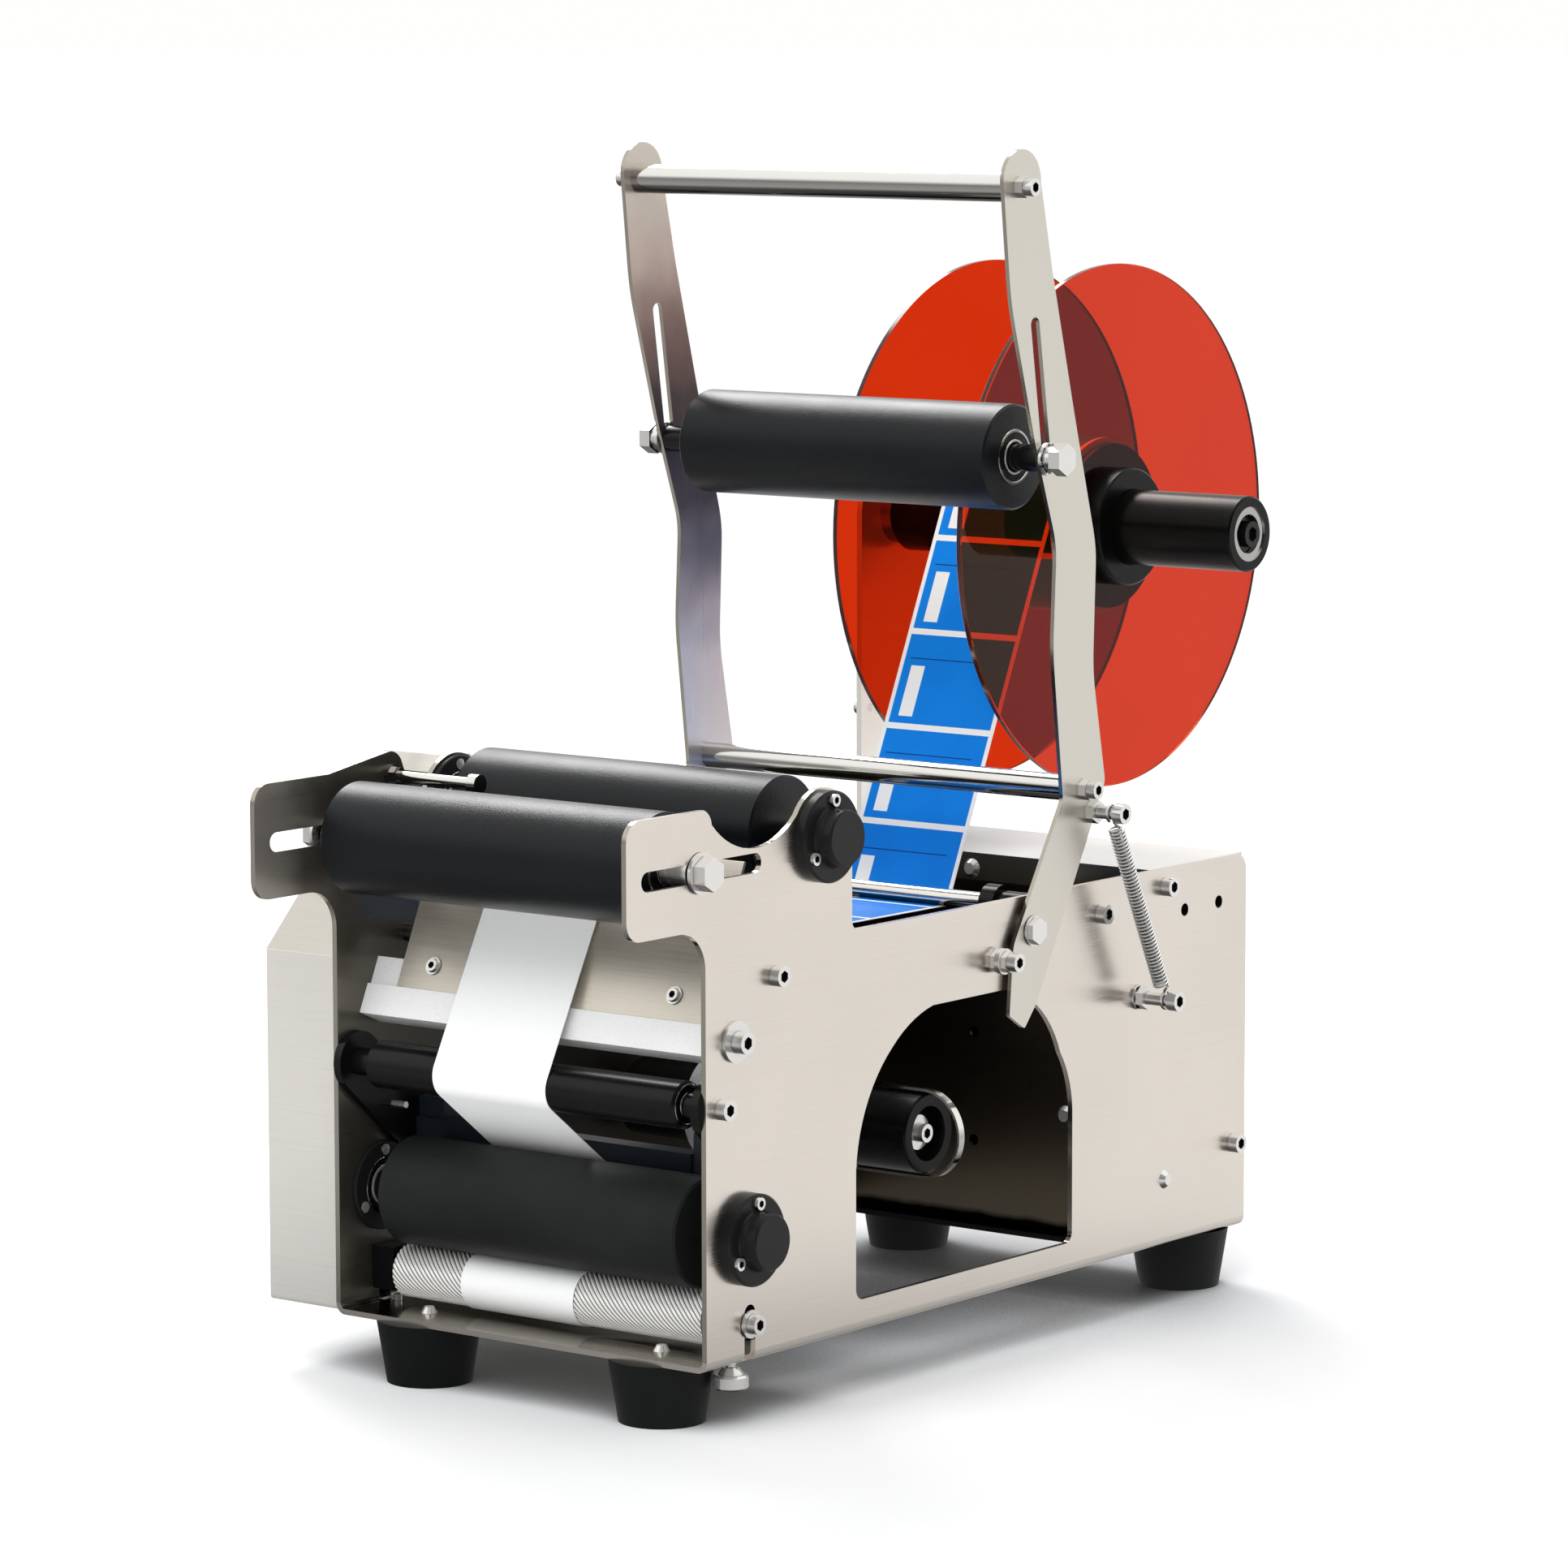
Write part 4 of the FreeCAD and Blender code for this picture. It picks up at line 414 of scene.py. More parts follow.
def make_materials():
    M["plate"] = brushed_steel("plate_steel", (0.78, 0.72, 0.655), rough=(0.20, 0.29))
    # painted shade and a painted dark reflection for faces that look into the machine
    M["inside"] = steel_with_painted_reflection("inner_steel_painted_shade", (
        (-262.0, (0.60, 0.56, 0.50)), (-243.0, (0.42, 0.39, 0.34)),
        (-222.0, (0.20, 0.185, 0.16)), (-200.0, (0.12, 0.11, 0.09)),
        (-150.0, (0.09, 0.085, 0.07))), "Y", (9.0, 9.0, 1500.0), metal=0.8)
    M["edge"] = brushed_steel("edge_steel", (0.50, 0.46, 0.40), (40.0, 40.0, 40.0),
                              (0.12, 0.2), 0.03)
    M["belly"] = brushed_steel("belly_steel", (0.55, 0.52, 0.46), rough=(0.08, 0.16),
                               bump=0.03)
    M["peel"] = brushed_steel("peel_steel", (0.86, 0.80, 0.69),
                              (22.0, 1500.0, 1500.0), (0.30, 0.42), 0.10, 0.16,
                              metal=0.80)
    # the control box's front and sloping top are one sheet: a lighter copy for the front,
    # painted light, and a darker copy for the slope, painted shade
    M["box"] = brushed_steel("box_steel", (0.97, 0.94, 0.88), metal=0.70)
    M["slope"] = brushed_steel("slope_steel", (0.68, 0.65, 0.59), metal=0.9)
    M["arm"] = brushed_steel("arm_steel", (0.72, 0.69, 0.62),
                             (240.0, 700.0, 14.0), (0.30, 0.36), 0.03, 0.025)
    # painted reflection on the left arm's inner face: the red disc and the dark parts before
    # it, by height
    M["arm_inner"] = steel_with_painted_reflection("arm_inner_steel", (
        (250.0, (0.78, 0.76, 0.75)), (300.0, (0.78, 0.75, 0.75)),
        (335.0, (0.44, 0.39, 0.39)), (372.0, (0.14, 0.11, 0.11)),
        (425.0, (0.075, 0.058, 0.06)), (455.0, (0.22, 0.15, 0.14)),
        (490.0, (0.50, 0.41, 0.36)), (530.0, (0.62, 0.56, 0.49))), metal=0.7)
    # painted shade on the rear wall: a black band at its foot, then a dark painted
    # reflection that fades upward
    M["wall"] = steel_with_painted_reflection("wall_steel_painted_shade", (
        (33.0, (0.004, 0.004, 0.004)), (36.0, (0.19, 0.16, 0.12)),
        (52.0, (0.20, 0.165, 0.12)), (75.0, (0.13, 0.108, 0.08)),
        (110.0, (0.08, 0.066, 0.05)), (160.0, (0.05, 0.042, 0.034))), drift=0.004)
    # chrome, zinc and spring wire: painted shade and reflection by which way a face looks
    M["chrome"] = polished_metal("chrome", (0.90, 0.88, 0.84), (0.06, 0.14), bump=0.008,
                                 painted_bands=ROD_PAINTED_REFLECTION)
    M["zinc"] = polished_metal("zinc", (0.93, 0.91, 0.88), (0.10, 0.20), painted_bands=BOLT_PAINTED_SHADE,
                               metal=0.75, shadow=1.8 * MM)
    M["lip"] = brushed_steel("lip_steel", (0.92, 0.89, 0.82), metal=0.45)
    M["spring"] = polished_metal("spring_wire", (0.95, 0.95, 0.94), (0.12, 0.22),
                                 metal=0.6, painted_bands=COIL_PAINTED_SHADE, shadow=2.0 * MM)
    M["knurl"] = knurled_metal("knurled_metal")
    # painted light: the rear cover's top is a matte white copy of its steel
    M["cover"] = brushed_steel("cover_steel", (0.93, 0.93, 0.90), rough=(0.55, 0.65),
                               metal=0.0, shine=0.08)
    # black for screw sockets and gaps: painted shade
    M["socket"] = black_finish("screw_socket_painted_shade", (0.006, 0.006, 0.006), (0.5, 0.6),
                               700.0, 0.05, shine=0.1)
    M["rubber"] = black_finish("roller_rubber", (0.0030, 0.0038, 0.0052), (0.28, 0.36),
                               1500.0, 0.5, 0.25 * MM, shine=0.28)
    M["matte"] = black_finish("traction_rubber", (0.013, 0.0138, 0.0140), (0.48, 0.58),
                              1500.0, 0.5, 0.25 * MM, shine=0.14)
    M["foot"] = black_finish("foot_rubber", (0.005, 0.0058, 0.0056), (0.42, 0.55),
                             700.0, 0.2, shine=0.20)
    M["plastic"] = black_finish("black_plastic", (0.0025, 0.0025, 0.0023), (0.22, 0.32),
                                900.0, 0.08, shine=0.14)
    M["anodised"] = black_finish("black_anodised", (0.004, 0.004, 0.0045),
                                 (0.20, 0.30), 1200.0, 0.06, shine=0.25)
    M["cap"] = black_finish("cap_plastic", (0.010, 0.010, 0.010), (0.28, 0.36),
                            1100.0, 0.12, shine=0.20)
    M["grey"] = black_finish("grey_block", (0.030, 0.034, 0.040), (0.35, 0.5),
                             1100.0, 0.1)
    M["navy"] = black_finish("bar_finish", (0.010, 0.014, 0.022), (0.35, 0.5),
                             1100.0, 0.1)
    M["acrylic"] = orange_acrylic("orange_acrylic", 1.22)
    M["acrylic_far"] = orange_acrylic("orange_acrylic_far", 1.04)
    M["rim"] = black_finish("disc_rim", (0.045, 0.010, 0.010), (0.10, 0.18), 900.0, 0.05,
                            shine=0.5)
    M["bar"] = speckled_aluminium("speckled_aluminium")
    M["paper"] = paper("liner_paper")
    M["labels"] = label_print("label_print")
    M["wound"] = wound_paper("wound_paper", (0.84, 0.84, 0.83), (0.45, 0.47, 0.50))
    M["wound_blue"] = wound_paper("wound_labels", (0.55, 0.62, 0.75), (0.05, 0.12, 0.32))
    M["glass"] = black_finish("display_glass", (0.004, 0.006, 0.008), (0.04, 0.08),
                              60.0, 0.0, coat=1.0)
    M["brass"] = polished_metal("pin_brass", (0.75, 0.58, 0.32), (0.2, 0.3))


# ------------------------------------------------------------------ mesh helpers

def new_piece(name, mesh, material, body, replaced=(), smooth=True):
    piece = bpy.data.objects.new(name, mesh)
    bpy.context.scene.collection.objects.link(piece)
    if material is not None:
        mesh.materials.append(material)
    for face in mesh.polygons:
        face.use_smooth = smooth
    if body is not None:
        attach(piece, body)
    if replaced:
        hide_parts(*replaced)
    return piece


def to_mesh(name, maker):
    mesh = bpy.data.meshes.new(name)
    bm = bmesh.new()
    maker(bm)
    bmesh.ops.recalc_face_normals(bm, faces=bm.faces)
    bm.to_mesh(mesh)
    bm.free()
    return mesh


def tube_mesh(name, points, radius, sides=10):
    """A round wire that follows a list of points."""
    def build(bm):
        rings = []
        normal = None
        for index, point in enumerate(points):
            ahead = points[min(index + 1, len(points) - 1)]
            behind = points[max(index - 1, 0)]
            along = (ahead - behind).normalized()
            if normal is None:
                normal = along.orthogonal().normalized()
            normal = (normal - along * normal.dot(along)).normalized()
            side = along.cross(normal)
            rings.append([bm.verts.new(point + radius * (
                math.cos(a) * normal + math.sin(a) * side))
                for a in (2.0 * math.pi * k / sides for k in range(sides))])
        for one, two in zip(rings[:-1], rings[1:]):
            for k in range(sides):
                bm.faces.new((one[k], one[(k + 1) % sides],
                              two[(k + 1) % sides], two[k]))
        bm.faces.new(reversed(rings[0]))
        bm.faces.new(rings[-1])
    return to_mesh(name, build)


def turned_mesh(name, profile, centre, sides=96):
    """A closed ring turned about a line along X; profile is (axial, radial)."""
    def build(bm):
        rings = []
        for k in range(sides):
            a = 2.0 * math.pi * k / sides
            rings.append([bm.verts.new((x, centre[0] + r * math.cos(a),
                                        centre[1] + r * math.sin(a)))
                          for x, r in profile])
        count = len(profile)
        for k in range(sides):
            one, two = rings[k], rings[(k + 1) % sides]
            for i in range(count):
                j = (i + 1) % count
                bm.faces.new((one[i], one[j], two[j], two[i]))
    return to_mesh(name, build)


def shade_by_angle(piece, degrees=35.0):
    piece.data.set_sharp_from_angle(angle=math.radians(degrees))


def soften(node, width, segments=2):
    """Rounds the sharp edges of a sheet or block a little."""
    bevel = node.modifiers.new("edge", "BEVEL")
    bevel.width = width
    bevel.segments = segments
    bevel.limit_method = "ANGLE"
    bevel.angle_limit = math.radians(50.0)
    bevel.miter_outer = "MITER_ARC"
    weigh = node.modifiers.new("weigh", "WEIGHTED_NORMAL")
    weigh.keep_sharp = False


def dress(material, *names):
    for name in names:
        mesh = NODES[name].data
        mesh.materials.clear()
        mesh.materials.append(M[material])


def dress_parts(name, base, *rules):
    """Several finishes on one node: rules are (test of centre and normal, material)."""
    mesh = NODES[name].data
    mesh.materials.clear()
    for key in [base] + [rule[1] for rule in rules]:
        mesh.materials.append(M[key])
    for face in mesh.polygons:
        face.material_index = 0
        for index, (test, key) in enumerate(rules, start=1):
            if test(face.center / MM, face.normal):
                face.material_index = index


def paint_recess_shade(name, reach=5.0 * MM, tries=24):
    """Faces that look into their own mesh all round, such as hex sockets, get painted shade
    in a black finish.
    """
    mesh = NODES[name].data
    mesh.materials.append(M["socket"])
    dark = len(mesh.materials) - 1
    tree = BVHTree.FromPolygons([v.co for v in mesh.vertices],
                                [tuple(f.vertices) for f in mesh.polygons])
    for face in mesh.polygons:
        normal = face.normal
        side = normal.orthogonal().normalized()
        other = normal.cross(side)
        start = face.center + normal * 0.02 * MM
        hits = 0
        for k in range(tries):
            a = 2.399963 * k
            lift = math.sqrt((k + 0.5) / tries)
            way = normal * math.sqrt(1.0 - lift * lift) + lift * (
                math.cos(a) * side + math.sin(a) * other)
            if tree.ray_cast(start, way, reach)[0] is not None:
                hits += 1
        if hits > 0.42 * tries:
            face.material_index = dark


# ------------------------------------------------------------------ dressed CAD nodes

def dress_nodes():
    # the rear cover's top gets painted light and its front faces painted shade
    dress_parts("rear_cover", "plate", (lambda c, n: n.z > 0.9, "cover"),
                (lambda c, n: n.y < -0.5, "inside"))
    dress("box", "reel_bracket")
    # the control box's sloping faces get the darker copy: painted shade
    dress_parts("control_box", "box",
                (lambda c, n: 0.4 < n.z < 0.9 and n.y < -0.4, "slope"))
    dress_parts("arm_right", "arm", (lambda c, n: abs(n.x) < 0.5, "edge"))
    # the left arm's inner face gets a painted reflection
    dress_parts("arm_left", "arm", (lambda c, n: abs(n.x) < 0.5, "edge"),
                (lambda c, n: n.x > 0.5, "arm_inner"))
    # the rear wall gets painted shade and a painted reflection
    dress("wall", "rear_wall")
    dress("peel", "peel_plate")
    dress("bar", "peel_support_bar")
    dress("plastic", "control_panel", "power_rocker", "rewind_tube",
          "hub_flange_left", "hub_flange_right", "drive_motor", "key_left", "key_right")
    dress("cap", "bearing_cap_upper", "bearing_cap_lower", "bearing_housings_left")
    dress("foot", "feet_front", "feet_rear")
    dress("zinc", "frame_screws", "arm_screws", "pivot_pins", "spring_posts",
          "rewind_screw", "thumbscrew_left", "thumbscrew_right")
    dress("anodised", "guide_brackets", "guide_roller", "guide_rod_spacer")
    dress("chrome", "bottle_stop_rod", "arm_rods", "rear_roller_shaft",
          "traction_shaft", "rewind_clip")
    dress("rubber", "rear_roller")
    dress("matte", "traction_roller")
    dress_parts("reel_disc_right", "acrylic", (lambda c, n: abs(n.x) < 0.3, "rim"))
    dress_parts("reel_disc_left", "acrylic_far", (lambda c, n: abs(n.x) < 0.3, "rim"))
    dress("knurl", "knurled_roller")
    dress("paper", "waste_liner", "waste_roll")
    # the inner faces of the side plates get painted shade and a painted dark reflection of
    # the machine's inside
    dress_parts("chassis_frame", "plate",
                (lambda c, n: abs(c.x) < 102.7 and n.x * c.x < -90.0, "inside"),
                (lambda c, n: c.z < 31.0 and abs(n.z) > 0.5, "belly"),
                # painted shade: a black band on the low rear faces, where the floor plate
                # meets the rear wall
                (lambda c, n: c.z < 34.0 and n.y < -0.5 and c.y > 100.0, "socket"),
                (lambda c, n: c.z < 34.0 and n.y < -0.5 and c.y < -240.0, "lip"),
                (lambda c, n: abs(n.x) < 0.5 and n.y < -0.3 and c.z > 40.0, "edge"))
    dress_parts("guide_cross_bar", "navy", (lambda c, n: c.x > 58.0, "grey"))
    dress_parts("guide_rods", "chrome", (lambda c, n: c.y < -180.0, "anodised"))
    dress_parts("pinch_carriage", "anodised",
                (lambda c, n: abs(c.x) > 101.8 or abs(c.x) < 89.0, "zinc"))
    dress_parts("reel_tube", "plastic", (
        lambda c, n: c.x > 94.9 and 9.0 < radius_from(c, *REEL_AXIS) < 13.0
        and c.x < 100.3, "chrome"))
    dress_parts("reel_shaft", "chrome", (lambda c, n: c.x > 94.9, "anodised"))
    dress_parts("front_roller_axle", "zinc", (lambda c, n: abs(c.x) < 89.0, "anodised"))
    dress_parts("pressure_axle", "zinc", (lambda c, n: abs(c.x) < 107.6, "anodised"))
    dress_parts("front_roller", "rubber",
                (lambda c, n: radius_from(c, *FRONT_ROLLER) < 12.7, "anodised"))
    dress_parts("pressure_roller", "rubber",
                (lambda c, n: radius_from(c, *PRESS_ROLLER) < 12.7, "anodised"))
    dress_parts("power_inlet", "plastic", (
        lambda c, n: -56.0 < c.x < -40.0 and 83.0 < c.z < 93.0 and n.y > -0.5
        and 196.0 < c.y < 204.0, "brass"))
    # painted shade: black in the screw sockets
    for name in ("frame_screws", "arm_screws", "spring_posts", "rewind_screw",
                 "front_roller_axle", "pressure_axle", "pinch_carriage"):
        paint_recess_shade(name)
    for name in ("chassis_frame", "control_box", "rear_cover", "reel_bracket",
                 "arm_left", "arm_right", "peel_plate", "peel_support_bar"):
        soften(NODES[name], 0.35 * MM)
    for name in ("frame_screws", "arm_screws", "spring_posts", "pivot_pins",
                 "rewind_screw", "front_roller_axle", "pressure_axle",
                 "thumbscrew_left", "thumbscrew_right", "power_inlet", "power_rocker"):
        soften(NODES[name], 0.22 * MM)
    for name in ("rear_roller", "traction_roller", "feet_front", "feet_rear"):
        soften(NODES[name], 0.6 * MM, 3)


def radius_from(point, y, z):
    return math.hypot(point.y - y, point.z - z)


# ------------------------------------------------------------------ bearings

def turned_piece(name, body, key, centre, profile, sides=72):
    """A ring or pin about X; the profile's places along X and radii are in mm."""
    mesh = turned_mesh(name, [(x * MM, r * MM) for x, r in profile],
                       (centre[0] * MM, centre[1] * MM), sides)
    shade_by_angle(new_piece(name, mesh, M[key], body), 40.0)


def ring_profile(root, face, low, high):
    """A flat ring from root to face, with a small bevel on both rims of the face."""
    bevel = math.copysign(0.15, face - root)
    return [(root, low), (face - bevel, low), (face, low + abs(bevel)),
            (face, high - abs(bevel)), (face - bevel, high), (root, high)]


def make_bearing_faces():
    """Steel races and black shields that show in the ends of three rollers."""
    for body, centre, right, left, radii in (
            ("front_roller", FRONT_ROLLER, 87.0, -87.0, (4.6, 6.6, 11.2, 12.5)),
            ("pressure_roller", PRESS_ROLLER, 91.0, -83.0, (6.9, 8.0, 11.2, 12.5)),
            ("guide_roller", GUIDE_ROLLER, 87.0, -87.0, (4.6, 5.6, 8.0, 9.2))):
        inner, step, wall, outer = radii
        for side, face, tag in ((1.0, right, "right"), (-1.0, left, "left")):
            for name, low, high, stand, key in (
                    ("inner_race", inner, step, 0.45, "zinc"),
                    ("shield", step, wall, 0.15, "anodised"),
                    ("outer_race", wall, outer, 0.40, "chrome")):
                turned_piece("%s_%s_%s" % (body, name, tag), body, key, centre,
                             ring_profile(face - side * 0.6, face + side * stand,
                                          low, high))


def make_bracket_pin():
    """A small steel pin that stands in the left teardrop bracket."""
    turned_piece("bracket_pin", "frame", "zinc", (-174.0, 119.0),
                 [(-98.6, 0.2), (-98.6, 1.6), (-90.8, 1.6), (-90.5, 1.3), (-90.5, 0.2)],
                 32)


def make_left_races():
    """Races and shields of the two bearings in the thin flanges of the left plate."""
    for tag, centre in (("rear", REAR_ROLLER), ("traction", TRACTION_ROLLER)):
        for name, low, high, stand, key in (("inner", 8.1, 9.6, 0.45, "zinc"),
                                            ("shield", 9.6, 11.5, 0.15, "anodised"),
                                            ("outer", 11.5, 12.9, 0.40, "chrome")):
            turned_piece("%s_%s_race_left" % (tag, name), "frame", key, centre,
                         ring_profile(-100.4, -99.9 + stand, low, high))


# ------------------------------------------------------------------ springs

SPRING_LOW = Vector((0.0, 116.5, 149.4)) * MM
SPRING_HIGH = Vector((0.0, 72.0, 241.0)) * MM
SPRING_PLANE = 120.3 * MM
COIL_RADIUS = 3.25 * MM
WIRE = 0.64 * MM
COIL_FROM, COIL_TO = 8.0 * MM, 94.0 * MM
HOOK_RADIUS = 3.9 * MM


def ring_points(centre, towards, radius, turns=0.86, count=26):
    """An open eye in the plane of Y and Z that starts at the coil's side."""
    start = math.atan2(towards.z, towards.y)
    return [centre + radius * Vector((0.0, math.cos(start + 2 * math.pi * turns * k / count),
                                      math.sin(start + 2 * math.pi * turns * k / count)))
            for k in range(count + 1)]


def make_springs():
    way = (SPRING_HIGH - SPRING_LOW).normalized()
    across = Vector((1.0, 0.0, 0.0))
    side = way.cross(across)
    turns = 47
    steps = turns * 16
    for sign, tag in ((-1.0, "left"), (1.0, "right")):
        shift = Vector((sign * SPRING_PLANE, 0.0, 0.0))
        low, high = SPRING_LOW + shift, SPRING_HIGH + shift
        points = []
        for k in range(steps + 1):
            a = 2.0 * math.pi * turns * k / steps
            d = COIL_FROM + (COIL_TO - COIL_FROM) * k / steps
            points.append(low + way * d + COIL_RADIUS * (
                math.cos(a) * across + math.sin(a) * side))
        coil = new_piece("coil_" + tag, tube_mesh("coil", points, WIRE, 8), M["spring"],
                         None)
        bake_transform(coil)
        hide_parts("spring_" + tag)
        eye = ring_points(low, way, HOOK_RADIUS)
        lead = [low + way * COIL_FROM + across * COIL_RADIUS,
                low + way * (COIL_FROM - 2.2 * MM) + across * 1.2 * MM]
        lower = new_piece("spring_eye_" + tag, tube_mesh("eye", lead + eye, WIRE, 8),
                          M["spring"], "spring_" + tag)
        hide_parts("spring_" + tag)
        start = low + way * COIL_TO
        finish = high - way * (HOOK_RADIUS + 1.0 * MM)
        rod = [start + across * COIL_RADIUS, start + way * 1.2 * MM + across * 1.0 * MM,
               finish]
        upper = new_piece("spring_hook_eye_" + tag,
                          tube_mesh("hook", rod + ring_points(high, -way, HOOK_RADIUS),
                                    WIRE * 1.15, 10),
                          M["spring"], "spring_hook_" + tag)
        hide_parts("spring_hook_" + tag)


# ------------------------------------------------------------------ knurled roller

def make_knurled_roller():
    """Diamond knurling: raised points in staggered rows round the roller."""
    around = 56
    rows = 130
    chamfer = 1.2 * MM

    def build(bm):
        rings = []
        start, end = -PINCH_HALF, PINCH_HALF
        axial = [start, start, start + chamfer]
        radial = [4.3 * MM, PINCH_RADIUS - chamfer, PINCH_RADIUS - KNURL_DEPTH]
        for k in range(rows + 1):
            axial.append(start + chamfer + (end - start - 2 * chamfer) * k / rows)
            radial.append(None)
        axial += [end - chamfer, end, end]
        radial += [PINCH_RADIUS - KNURL_DEPTH, PINCH_RADIUS - chamfer, 4.3 * MM]
        for i, (x, r) in enumerate(zip(axial, radial)):
            ring = []
            for k in range(around):
                a = 2.0 * math.pi * k / around
                if r is None:
                    reach = PINCH_RADIUS - (KNURL_DEPTH if (i + k) % 2 else 0.0)
                else:
                    reach = r
                ring.append(bm.verts.new((x, PINCH.y + reach * math.cos(a),
                                          PINCH.z + reach * math.sin(a))))
            rings.append(ring)
        for one, two in zip(rings, rings[1:] + rings[:1]):
            for k in range(around):
                bm.faces.new((one[k], one[(k + 1) % around],
                              two[(k + 1) % around], two[k]))

    mesh = to_mesh("knurled_roller_skin", build)
    new_piece("knurled_sleeve", mesh, M["knurl"], "knurled_roller",
              ("knurled_roller",), smooth=False)


# ------------------------------------------------------------------ paper

def strip_points(wheels, start, finish, step=1.2 * MM):
    """Middle line of a strip that runs over wheels (y, z, radius, sense)."""
    spots = [(*start, 0.0, 1)] + list(wheels) + [(*finish, 0.0, 1)]
    legs = []
    for one, two in zip(spots[:-1], spots[1:]):
        dy, dz = two[0] - one[0], two[1] - one[1]
        span = math.hypot(dy, dz)
        lift = (one[2] * one[3] - two[2] * two[3]) / span
        angle = math.atan2(dz, dy) + math.asin(max(-1.0, min(1.0, lift)))
        ny, nz = math.sin(angle), -math.cos(angle)
        legs.append((angle,
                     Vector((one[0] + ny * one[2] * one[3], one[1] + nz * one[2] * one[3])),
                     Vector((two[0] + ny * two[2] * two[3], two[1] + nz * two[2] * two[3]))))
    points = []
    for index, (angle, begin, end) in enumerate(legs):
        count = max(2, int((end - begin).length / (4.0 * MM)))
        points += [(begin.lerp(end, k / count), angle) for k in range(count + 1)]
        if index < len(legs) - 1:
            y, z, radius, sense = spots[index + 1]
            sweep = (legs[index + 1][0] - angle) % (2.0 * math.pi)
            if sense < 0:
                sweep -= 2.0 * math.pi
            count = max(3, int(abs(sweep) * radius / step))
            for k in range(1, count):
                a = angle + sweep * k / count
                points.append((Vector((y + math.sin(a) * radius * sense,
                                       z - math.cos(a) * radius * sense)), a))
    return points


def strip_mesh(name, points, left, right, gauge, offset=0.0):
    """A strip with thickness; its UV holds metres across and along."""
    def build(bm):
        layer = bm.loops.layers.uv.new("UVMap")
        run = 0.0
        rows = []
        last = None
        for point, angle in points:
            if last is not None:
                run += (point - last).length
            last = point
            out = Vector((math.sin(angle), -math.cos(angle)))
            front = point + out * gauge / 2.0
            rear = point - out * gauge / 2.0
            rows.append((run + offset,
                         [bm.verts.new((x, *spot)) for x, spot in
                          ((left, front), (right, front), (right, rear), (left, rear))]))
        for (v1, one), (v2, two) in zip(rows[:-1], rows[1:]):
            for k in range(4):
                face = bm.faces.new((one[k], one[(k + 1) % 4], two[(k + 1) % 4], two[k]))
                for loop in face.loops:
                    along = v1 if loop.vert in one else v2
                    loop[layer].uv = (loop.vert.co.x - left, along)
                face.material_index = (1, 2, 0, 2)[k]
        for end in (rows[0], rows[-1]):
            face = bm.faces.new(end[1])
            face.material_index = 2
    return to_mesh(name, build)


WEB_LEFT, WEB_RIGHT, WEB_GAUGE = -47.0 * MM, 17.0 * MM, 0.3 * MM
REEL = (REEL_AXIS[0] * MM, REEL_AXIS[1] * MM)
ROLL_RADIUS = 42.0 * MM
REAR_ROD, FRONT_ROD = (85.5 * MM, 192.0 * MM), (-157.8 * MM, 193.8 * MM)
ROD_RADIUS = 4.0 * MM
FIRST_GAP = 23.2 * MM                  # from the strip's start to its first gap
PEEL_FOOT, PEEL_LENGTH, PEEL_GAUGE = (-185.0 * MM, 174.5 * MM), 72.6 * MM, 1.5 * MM
PEEL_LEAN = math.radians(65.7)


def make_label_web():
    """From the roll past the two rods to the peel edge."""
    rod = ROD_RADIUS + WEB_GAUGE / 2.0
    span = Vector((REEL[0] - REAR_ROD[0], REEL[1] - REAR_ROD[1]))
    reach = ROLL_RADIUS + 0.65 * MM
    way = math.atan2(span.y, span.x) + math.asin((reach + rod) / span.length)
    start = (REEL[0] - math.sin(way) * reach, REEL[1] + math.cos(way) * reach)
    rise, run, half = math.sin(PEEL_LEAN), math.cos(PEEL_LEAN), PEEL_GAUGE / 2.0
    tip = (PEEL_FOOT[0] + PEEL_LENGTH * run + half * rise,
           PEEL_FOOT[1] + PEEL_LENGTH * rise - half * run)
    finish = (tip[0] + 0.95 * MM, tip[1] - 1.0 * MM)
    points = strip_points([(*REAR_ROD, rod, -1), (*FRONT_ROD, rod, -1)], start, finish)
    mesh = strip_mesh("label_strip", points, WEB_LEFT, WEB_RIGHT, WEB_GAUGE, FIRST_GAP)
    piece = new_piece("label_strip", mesh, None, "frame", ("label_web",))
    for key in ("paper", "labels", "paper"):
        mesh.materials.append(M[key])
    shade_by_angle(piece)


